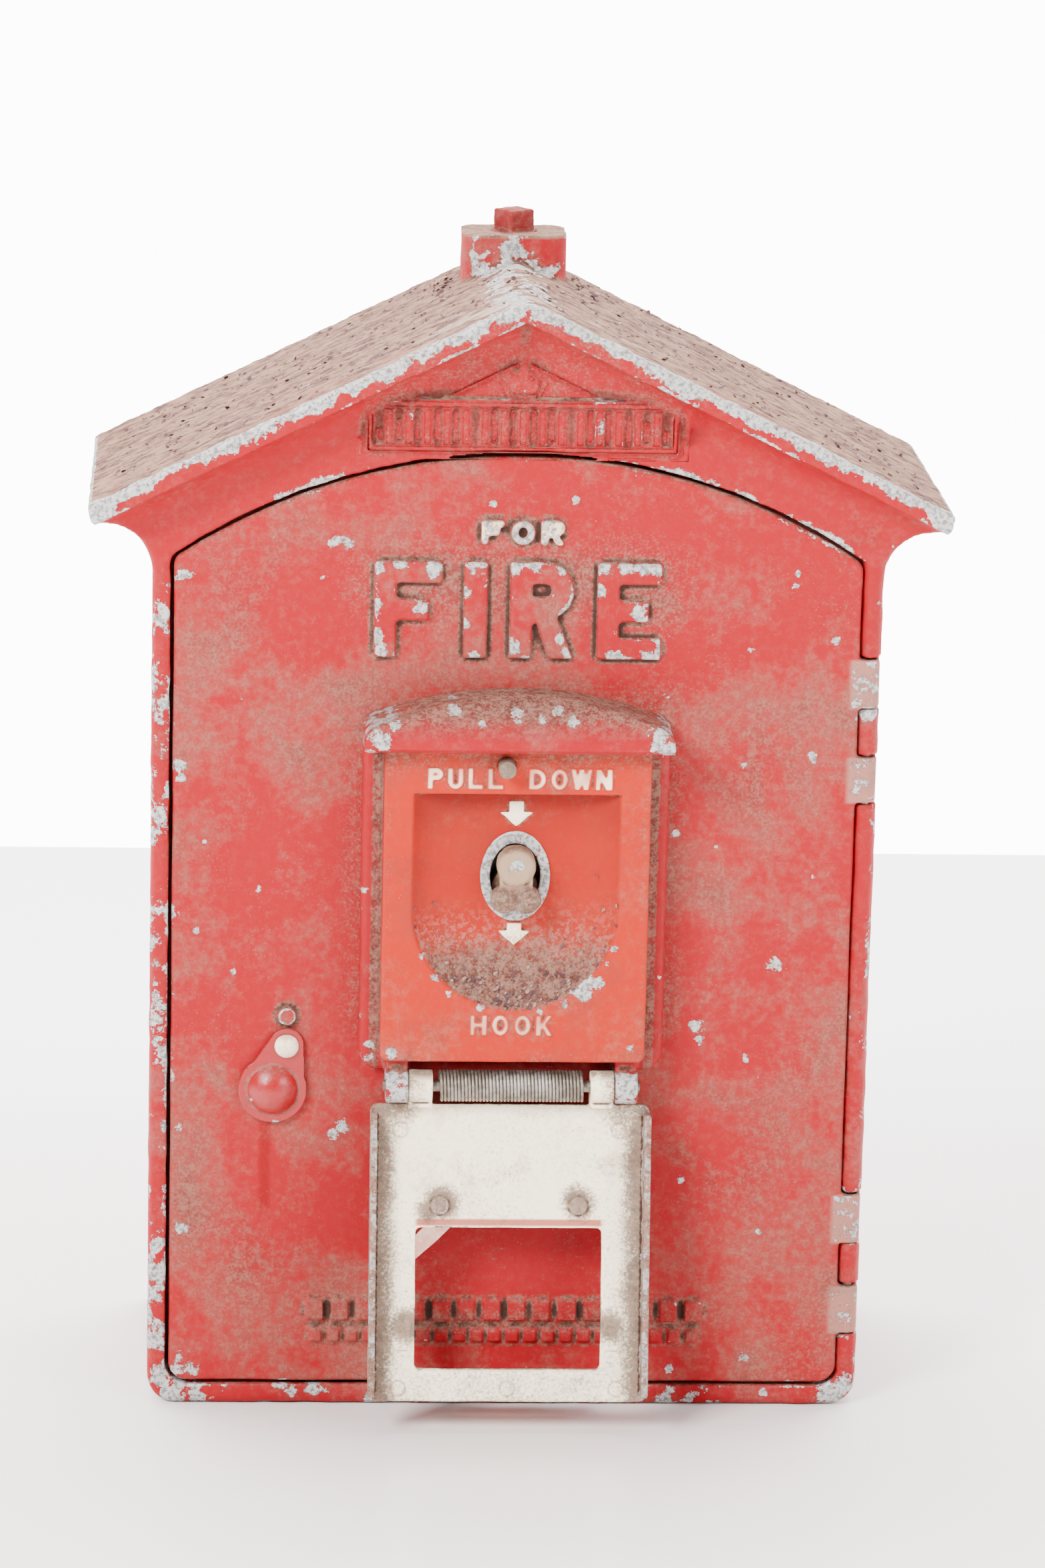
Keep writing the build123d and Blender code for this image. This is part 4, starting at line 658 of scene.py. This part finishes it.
def cover_zones(s):
    """Cream inside, red skin outside, brown dust along the flanges, painted shadows below the pegs and side bumps,
    bare finger lip.
    """
    outside = s.step(s.ny, 0.15, 0.45)
    flange = s.step(s.far(s.x), 0.0488, 0.0500)
    drift = s.times(s.step(s.far(s.x), 0.034, 0.050), 0.95)
    head = s.times(s.step(s.z, 0.055, 0.035), 0.45)
    marks = s.times(s.spots(((-41, 114, 8.8), (41, 114, 8.8), (-41, 18, 8.8), (41, 18, 8.8), (0, 18, 8.8))), 1.0)
    ring = s.times(s.step(marks, 0.60, 0.66), s.step(marks, 0.76, 0.70), s.step(s.ny, -0.3, -0.6))
    lip = s.times(s.between(s.z, 78.4, 81, 0.5), s.step(s.far(s.x), 0.036, 0.034))
    colors = ((s.times(flange, 0.55), (0.32, 0.018, 0.011)), (s.times(ring, 0.6), (0.42, 0.32, 0.24)),
              (s.times(lip, 0.85), ORANGE), (outside, FADED))
    corners = s.times(s.step(s.far(s.x), 0.020, 0.046), s.step(s.z, 0.095, 0.125), 0.9)
    # Painted shadows below the pegs and side bumps, mixed in with the dust.
    shadow = s.times(s.spots(((-25.5, 87, 12), (25.5, 87, 12), (-38, 41, 12), (38, 41, 12), (-30, 84, 9))), 1.3)
    pegs = s.times(s.step(s.y, -0.0950, -0.0960), s.step(s.z, 0.060, 0.064), s.step(s.z, 0.098, 0.094))
    return {"bare": s.most(s.times(flange, 0.60), s.times(pegs, 0.62)),
            "dust_and_shade": s.most(drift, head, corners, shadow, 0.34), "colors": colors}


def escutcheon_zones(s):
    """Mostly bare, with paint left in patches."""
    return {"bare": 0.95}


def hook_zones(s):
    """Grey worn face of the knob, dusty lobe below."""
    knob = s.times(s.step(s.y, -0.0850, -0.0855), s.spots(((0, 219, 6),)))
    lobe = s.times(s.step(s.z, 0.210, 0.206), s.step(s.noise(0.004, 3, 0.6, shift=5.0), 0.46, 0.54), 0.8)
    return {"bare": s.times(knob, 0.9), "dust_and_shade": s.step(s.z, 0.214, 0.208), "colors": ((lobe, (0.55, 0.45, 0.34)),)}


def bare_metal(name, color, dark, rough=0.4, size=0.002, metallic=0.9):
    """Aged metal with fine mottling."""
    s = Shader(name)
    cloud = s.noise(size * 5, 5, 0.6)
    fine = s.noise(size, 4, 0.65, shift=4.0)
    stain = s.step(s.add(s.times(cloud, 0.6), s.times(fine, 0.4)), 0.42, 0.62)
    tone = s.blend(stain, dark, color)
    gloss = s.math("MULTIPLY_ADD", fine, 0.3, rough - 0.1)
    return s.finish(tone, gloss, metallic, s.bump(fine, 0.25, 0.0002))


def fibre_board(name, color):
    """Pressed insulating board with fine flecks."""
    s = Shader(name)
    flecks = s.noise(0.0012, 4, 0.7, stretch=(1, 1, 0.25))
    tone = s.blend(s.step(flecks, 0.35, 0.65), color, tuple(1.8 * v for v in color))
    return s.finish(tone, s.math("MULTIPLY_ADD", flecks, 0.3, 0.45), 0.0, s.bump(flecks, 0.3, 0.0002))


def wound_thread(name, color):
    """Silk-covered wire wound in close turns across the height."""
    s = Shader(name)
    turns = s.math("SINE", s.times(s.z, 2 * pi / 0.0007))
    fine = s.noise(0.002, 4, 0.6)
    tone = s.blend(s.step(s.add(s.times(turns, 0.25), fine), 0.3, 0.75), tuple(0.45 * v for v in color), color)
    return s.finish(tone, 0.7, 0.0, s.bump(turns, 0.6, 0.0002))


def old_glass(name):
    """Dusty tinted glass."""
    s = Shader(name)
    s.bsdf.inputs["Transmission Weight"].default_value = 0.55
    s.bsdf.inputs["IOR"].default_value = 1.5
    film = s.noise(0.003, 4, 0.6)
    tone = s.blend(s.step(film, 0.35, 0.65), (0.80, 0.42, 0.32), (0.90, 0.66, 0.56))
    return s.finish(tone, s.math("MULTIPLY_ADD", film, 0.4, 0.05), 0.0, s.bump(film, 0.1, 0.0002))


# ---------------------------------------------------------------- pieces

castings = {
    "cottage_case": ("case", 1.3 * MM, 3, 0.18 * MM, 0.016, roof_crust),
    "outer_door": ("door", 0.85 * MM, 2, 0.15 * MM, 0.030, None),
    "pull_station_housing": ("door", 0.75 * MM, 3, 0.12 * MM, 0.018, None),
    "instruction_plate": ("door", 0.42 * MM, 2, 0.05 * MM, 0.012, None),
    "pull_cover": ("cover", 0.5 * MM, 2, 0.08 * MM, 0.010, None),
    "keyhole_cover": ("keyhole_flap", 0.4 * MM, 3, 0.05 * MM, 0.006, None),
    "keyhole_cover_rivet": ("door", 0.25 * MM, 3, 0.04 * MM, 0.003, None),
    "pull_hook": ("hook", 0.5 * MM, 4, 0.15 * MM, 0.005, None),
    "conduit_plug": ("case", 0.5 * MM, 4, 0.15 * MM, 0.005, None),
    "hook_escutcheon": ("door", 0.3 * MM, 2, 0.05 * MM, 0.003, None),
}
cast = {}
for order, (node, (body, voxel, passes, dent, dent_size, crust)) in enumerate(castings.items()):
    cast[node] = cast_copy(node, body, voxel, passes, dent, dent_size, crust, seed=40 + order)

CASE_CHIPS = ((-126, 4, 15), (-116, 3, 9), (-130, 10, 10), (126, 4, 13), (131, 9, 9), (-72, 7, 8), (-80, 6, 5),
              (63, 4, 8), (72, 4, 6), (-50, 3, 6), (100, 5, 4))
KEYHOLE_CHIPS = ((-84, 141, 3), (-97, 122, 2), (-88, 113, 2.5))
escutcheon_chips = tuple((12 * cos(a), 211.9 + 15.5 * sin(a), 6) for a in (0.2, 1.3, 2.2, 3.3, 4.4, 5.2))
paints = {
    "cottage_case": weathered_paint("case_enamel", RED, FADED, wear=0.8, grime_and_shade=0.5, fade=0.45, chips=CASE_CHIPS,
                                    zones=case_zones),
    "outer_door": weathered_paint("door_enamel", RED, (0.262, 0.036, 0.030), wear=0.7, grime_and_shade=0.9, fade=0.75,
                                  speckle=1.15,
                                  chips=DOOR_CHIPS, zones=door_zones),
    "pull_station_housing": weathered_paint("housing_enamel", RED, FADED, wear=0.5, grime_and_shade=0.8, fade=0.4,
                                            chips=HOUSING_CHIPS, zones=housing_zones),
    "instruction_plate": weathered_paint("plate_enamel", ORANGE, (0.36, 0.036, 0.018), wear=0.2, grime_and_shade=0.8,
                                         speckle=0.6, chips=PLATE_CHIPS, zones=plate_zones),
    "pull_cover": weathered_paint("cover_enamel", (0.97, 0.86, 0.64), (0.90, 0.72, 0.48), wear=0.4, grime_and_shade=0.9,
                                  speckle=0.8,
                                  under=(0.36, 0.20, 0.12), zones=cover_zones),
    "keyhole_cover": weathered_paint("keyhole_enamel", (0.26, 0.002, 0.004), RED, fade=0.1, speckle=0.15,
                                     wear=0.2, gloss=0.30, sheen=0.45, chips=KEYHOLE_CHIPS),
    "keyhole_cover_rivet": weathered_paint("rivet_enamel", CREAM, (0.60, 0.40, 0.32), fade=0.5, speckle=0.5),
    "pull_hook": weathered_paint("hook_enamel", (0.30, 0.20, 0.125), (0.20, 0.125, 0.080), wear=0.2, grime_and_shade=0.9,
                                 speckle=0.9, under=(0.15, 0.09, 0.06), zones=hook_zones),
    "conduit_plug": weathered_paint("plug_enamel", (0.16, 0.008, 0.009), (0.18, 0.034, 0.028), fade=0.4, speckle=0.8),
    "hook_escutcheon": weathered_paint("escutcheon_enamel", ORANGE, FADED, wear=0.9, chips=escutcheon_chips,
                                       chip_size=0.003, zones=escutcheon_zones),
}
for node, material in paints.items():
    cast[node].data.materials.append(material)
relief = fine_region("cottage_case", "case", (-0.061, -0.0745, 0.3665), (0.061, -0.057, 0.4055), 0.5 * MM)
relief.data.materials.append(paints["cottage_case"])

finishes = {
    "steel": bare_metal("old_steel", (0.36, 0.33, 0.30), (0.17, 0.14, 0.11), 0.45),
    "brass": bare_metal("old_brass", (0.62, 0.44, 0.18), (0.36, 0.24, 0.10), 0.32),
    "iron": bare_metal("blackened_iron", (0.10, 0.10, 0.11), (0.05, 0.045, 0.045), 0.55, metallic=0.6),
    "bare_aluminium": bare_metal("cast_aluminium", METAL_PALE, METAL_DARK, 0.5),
    "insulator": fibre_board("moulded_insulation", (0.025, 0.02, 0.02)),
    "board": fibre_board("insulating_board", (0.075, 0.05, 0.035)),
    "coil": wound_thread("silk_winding", (0.10, 0.26, 0.14)),
    "pane_glass": old_glass("pane_glass"),
}
slots = {row["node"]: row["material_slot"] for row in frame["record"]["subparts"]}
finishes["grimed_stud"] = bare_metal("grimed_stud", (0.20, 0.135, 0.095), (0.10, 0.065, 0.045), 0.7, metallic=0.2)
for node, piece in frame["nodes"].items():
    if node not in cast:
        piece.data.materials.clear()
        finish = "grimed_stud" if node == "cover_catch_stud" else slots[node]
        piece.data.materials.append(finishes[finish])


def coil_piece(node, body, axis, wire, turns, squashed=None):
    """A round-wire coil that takes the place of a spring's plain tube."""
    low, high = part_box(node)
    centre = (low + high) / 2
    length = {"x": high.x - low.x, "y": high.y - low.y, "z": high.z - low.z}[axis] - 2.2 * wire
    across = min(high.x - low.x, high.y - low.y, high.z - low.z)
    piece = tube_along(node + "_coil", coil_points(centre, axis, across / 2 - wire, length, turns), wire)
    piece.data.materials.append(finishes["steel"])
    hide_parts(node)
    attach(piece, body)
    if squashed:
        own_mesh(piece)
    return piece


def wound_strip(node, body, turns):
    """The mainspring: a flat strip wound in a spiral inside its barrel."""
    low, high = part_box(node)
    centre = (low + high) / 2
    outer = (high.x - low.x) / 2 - 0.5 * MM
    inner = 8.0 * MM
    half = 0.22 * MM
    steps = turns * 48
    verts, faces = [], []
    for k in range(steps + 1):
        angle = 2 * pi * turns * k / steps
        r = inner + (outer - inner) * k / steps
        for radius, y in ((r - half, low.y), (r + half, low.y), (r + half, high.y), (r - half, high.y)):
            verts.append((centre.x + radius * cos(angle), y, centre.z + radius * sin(angle)))
    for k in range(steps):
        for c in range(4):
            a, b = 4 * k + c, 4 * k + (c + 1) % 4
            faces.append((b, a, a + 4, b + 4))
    faces.append((0, 1, 2, 3))
    faces.append(tuple(4 * steps + c for c in (3, 2, 1, 0)))
    mesh = bpy.data.meshes.new(node + "_strip")
    mesh.from_pydata(verts, [], faces)
    mesh.materials.append(finishes["steel"])
    piece = link(bpy.data.objects.new(node + "_strip", mesh))
    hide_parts(node)
    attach(piece, body)


coil_piece("cover_spring", "door", "x", 0.62 * MM, 41)
hook_low, hook_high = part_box("hook_spring")
coil_piece("hook_spring", "door", "z", 0.45 * MM, 9, ("hook_pull", (0, 0, 1), (0, hook_low.y, hook_low.z), 0.79))
key_low, key_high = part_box("telegraph_key_spring")
coil_piece("telegraph_key_spring", "case", "y", 0.35 * MM, 5,
           ("telegraph_key_press", (0, 1, 0), (key_low.x, key_high.y, key_low.z), 0.78))
wound_strip("mainspring", "great_wheel", 13)

flake_dark = bare_metal("dark_flake", (0.10, 0.040, 0.044), (0.045, 0.018, 0.022), 0.8, metallic=0.0)
flake_pale = bare_metal("pale_flake", (0.27, 0.18, 0.14), (0.16, 0.085, 0.065), 0.8, metallic=0.0)


def roof_places(rng, count):
    """Places scattered over the roof, thicker round the boss."""
    places = []
    for _ in range(count):
        x = rng.uniform(-0.150, 0.150)
        y = rng.uniform(-0.066, 0.058)
        if rng.random() < 0.12:
            x = rng.choice((-1, 1)) * rng.uniform(0.022, 0.032)
            y = rng.uniform(0.010, 0.052)
        if abs(x) < 0.023 and 0.013 < y < 0.053:
            continue
        side = 1 if x > 0 else -1
        places.append(((x, y, 0.428 - 0.49 * abs(x) + 0.25 * MM), (0.44 * side, 0, 0.90), rng.uniform(0.5, 1.7) * MM))
    return places


def recess_places(rng, count):
    """Places along the foot of the finger recess, on its curved floor."""
    places = []
    for _ in range(count):
        angle = -pi / 2 + rng.normal() * 0.62
        r = 38.0 - abs(rng.normal()) * 5.5
        run = max(r - 20.0, 0.0)
        y = -99.76 + (25.26 ** 2 - run ** 2) ** 0.5 - 0.35
        lean = run / 25.26
        normal = (-cos(angle) * lean, -1 + 0.4 * lean, -sin(angle) * lean)
        places.append(((r * cos(angle) * MM, y * MM, (200.6 + r * sin(angle)) * MM), normal, rng.uniform(0.4, 1.5) * MM))
    return places


scatter = np.random.default_rng(7)
flakes("roof_flakes_dark", "case", roof_places(scatter, 420), flake_dark, 11)
flakes("roof_flakes_pale", "case", roof_places(scatter, 260), flake_pale, 12)
flakes("recess_flakes_dark", "door", recess_places(scatter, 90), flake_dark, 13)
flakes("recess_flakes_pale", "door", recess_places(scatter, 70), flake_pale, 14)


# ---------------------------------------------------------------- stage

def flat_sheet(name, corners, material):
    """A four-cornered sheet of the set, which isn't part of the object."""
    mesh = bpy.data.meshes.new(name)
    mesh.from_pydata(corners, [], [(0, 1, 2, 3)])
    mesh.materials.append(material)
    sheet = link(bpy.data.objects.new(name, mesh))
    return sheet


def stage():
    """Pale paper floor painted darker near the box and lighter farther out, soft studio light, and a bright wall far
    enough back to clear views from behind.
    """
    paper = Shader("floor_paper")
    paper.bsdf.inputs["Specular IOR Level"].default_value = 0.5
    crumple = paper.noise(0.30, 3, 0.5)
    # Painted light on the floor: darker in front of and under the box, lighter farther out, where the wall's
    # reflection would brighten it.
    away = paper.most(paper.step(paper.far(paper.x), 0.18, 0.42), paper.step(paper.y, 0.10, 0.50))
    painted_floor_light = paper.blend(away, (0.72, 0.675, 0.66), (0.97, 0.965, 0.96))
    flat_sheet("floor", [(-6, -6, 0), (6, -6, 0), (6, 0.78, 0), (-6, 0.78, 0)],
               paper.finish(painted_floor_light, 0.26, 0.0, paper.bump(crumple, 0.25, 0.012)))
    wall = Shader("wall_white")
    wall.bsdf.inputs["Emission Color"].default_value = (1, 1, 1, 1)
    wall.bsdf.inputs["Emission Strength"].default_value = 12.0
    bright = flat_sheet("wall", [(-22.5, 6, -11), (22.5, 6, -11), (22.5, 6, 19), (-22.5, 6, 19)],
                        wall.finish((1, 1, 1), 0.9))
    bright.visible_glossy = False
    world = bpy.data.worlds.new("studio")
    world.use_nodes = True
    background = world.node_tree.nodes["Background"]
    background.inputs["Color"].default_value = (1.0, 0.995, 0.985, 1)
    background.inputs["Strength"].default_value = 0.55
    bpy.context.scene.world = world
    for name, place, size, power, aim in (
            ("key", (-1.3, -1.6, 1.6), 0.8, 150, (0, 0, 0.22)),
            ("fill", (1.5, -1.5, 1.1), 1.1, 50, (0, 0, 0.2)),
            ("top", (0, 0.3, 2.2), 1.6, 80, (0, 0, 0.2))):
        light = bpy.data.lights.new(name, "AREA")
        light.size = size
        light.energy = power
        lamp = link(bpy.data.objects.new(name, light))
        lamp.location = place
        lamp.rotation_euler = (Vector(aim) - Vector(place)).to_track_quat("-Z", "Y").to_euler()


def camera():
    """Long lens a little above the middle of the box, tipped down."""
    yaw, pitch, roll = -0.05534, 0.24198, -0.02217
    data = bpy.data.cameras.new("camera")
    data.lens = 137.5
    data.sensor_width = 36.0
    eye = link(bpy.data.objects.new("camera", data))
    turn = Matrix.Rotation(yaw, 3, "Z") @ Matrix.Rotation(-pitch, 3, "X") @ Matrix.Rotation(roll, 3, "Y")
    right, ahead, up = (turn.col[0], turn.col[1], turn.col[2])
    eye.matrix_world = Matrix.Translation((-0.1169, -2.2209, 0.7775)) @ Matrix(
        (right, up, -ahead)).transposed().to_4x4()
    bpy.context.scene.camera = eye


stage()
camera()
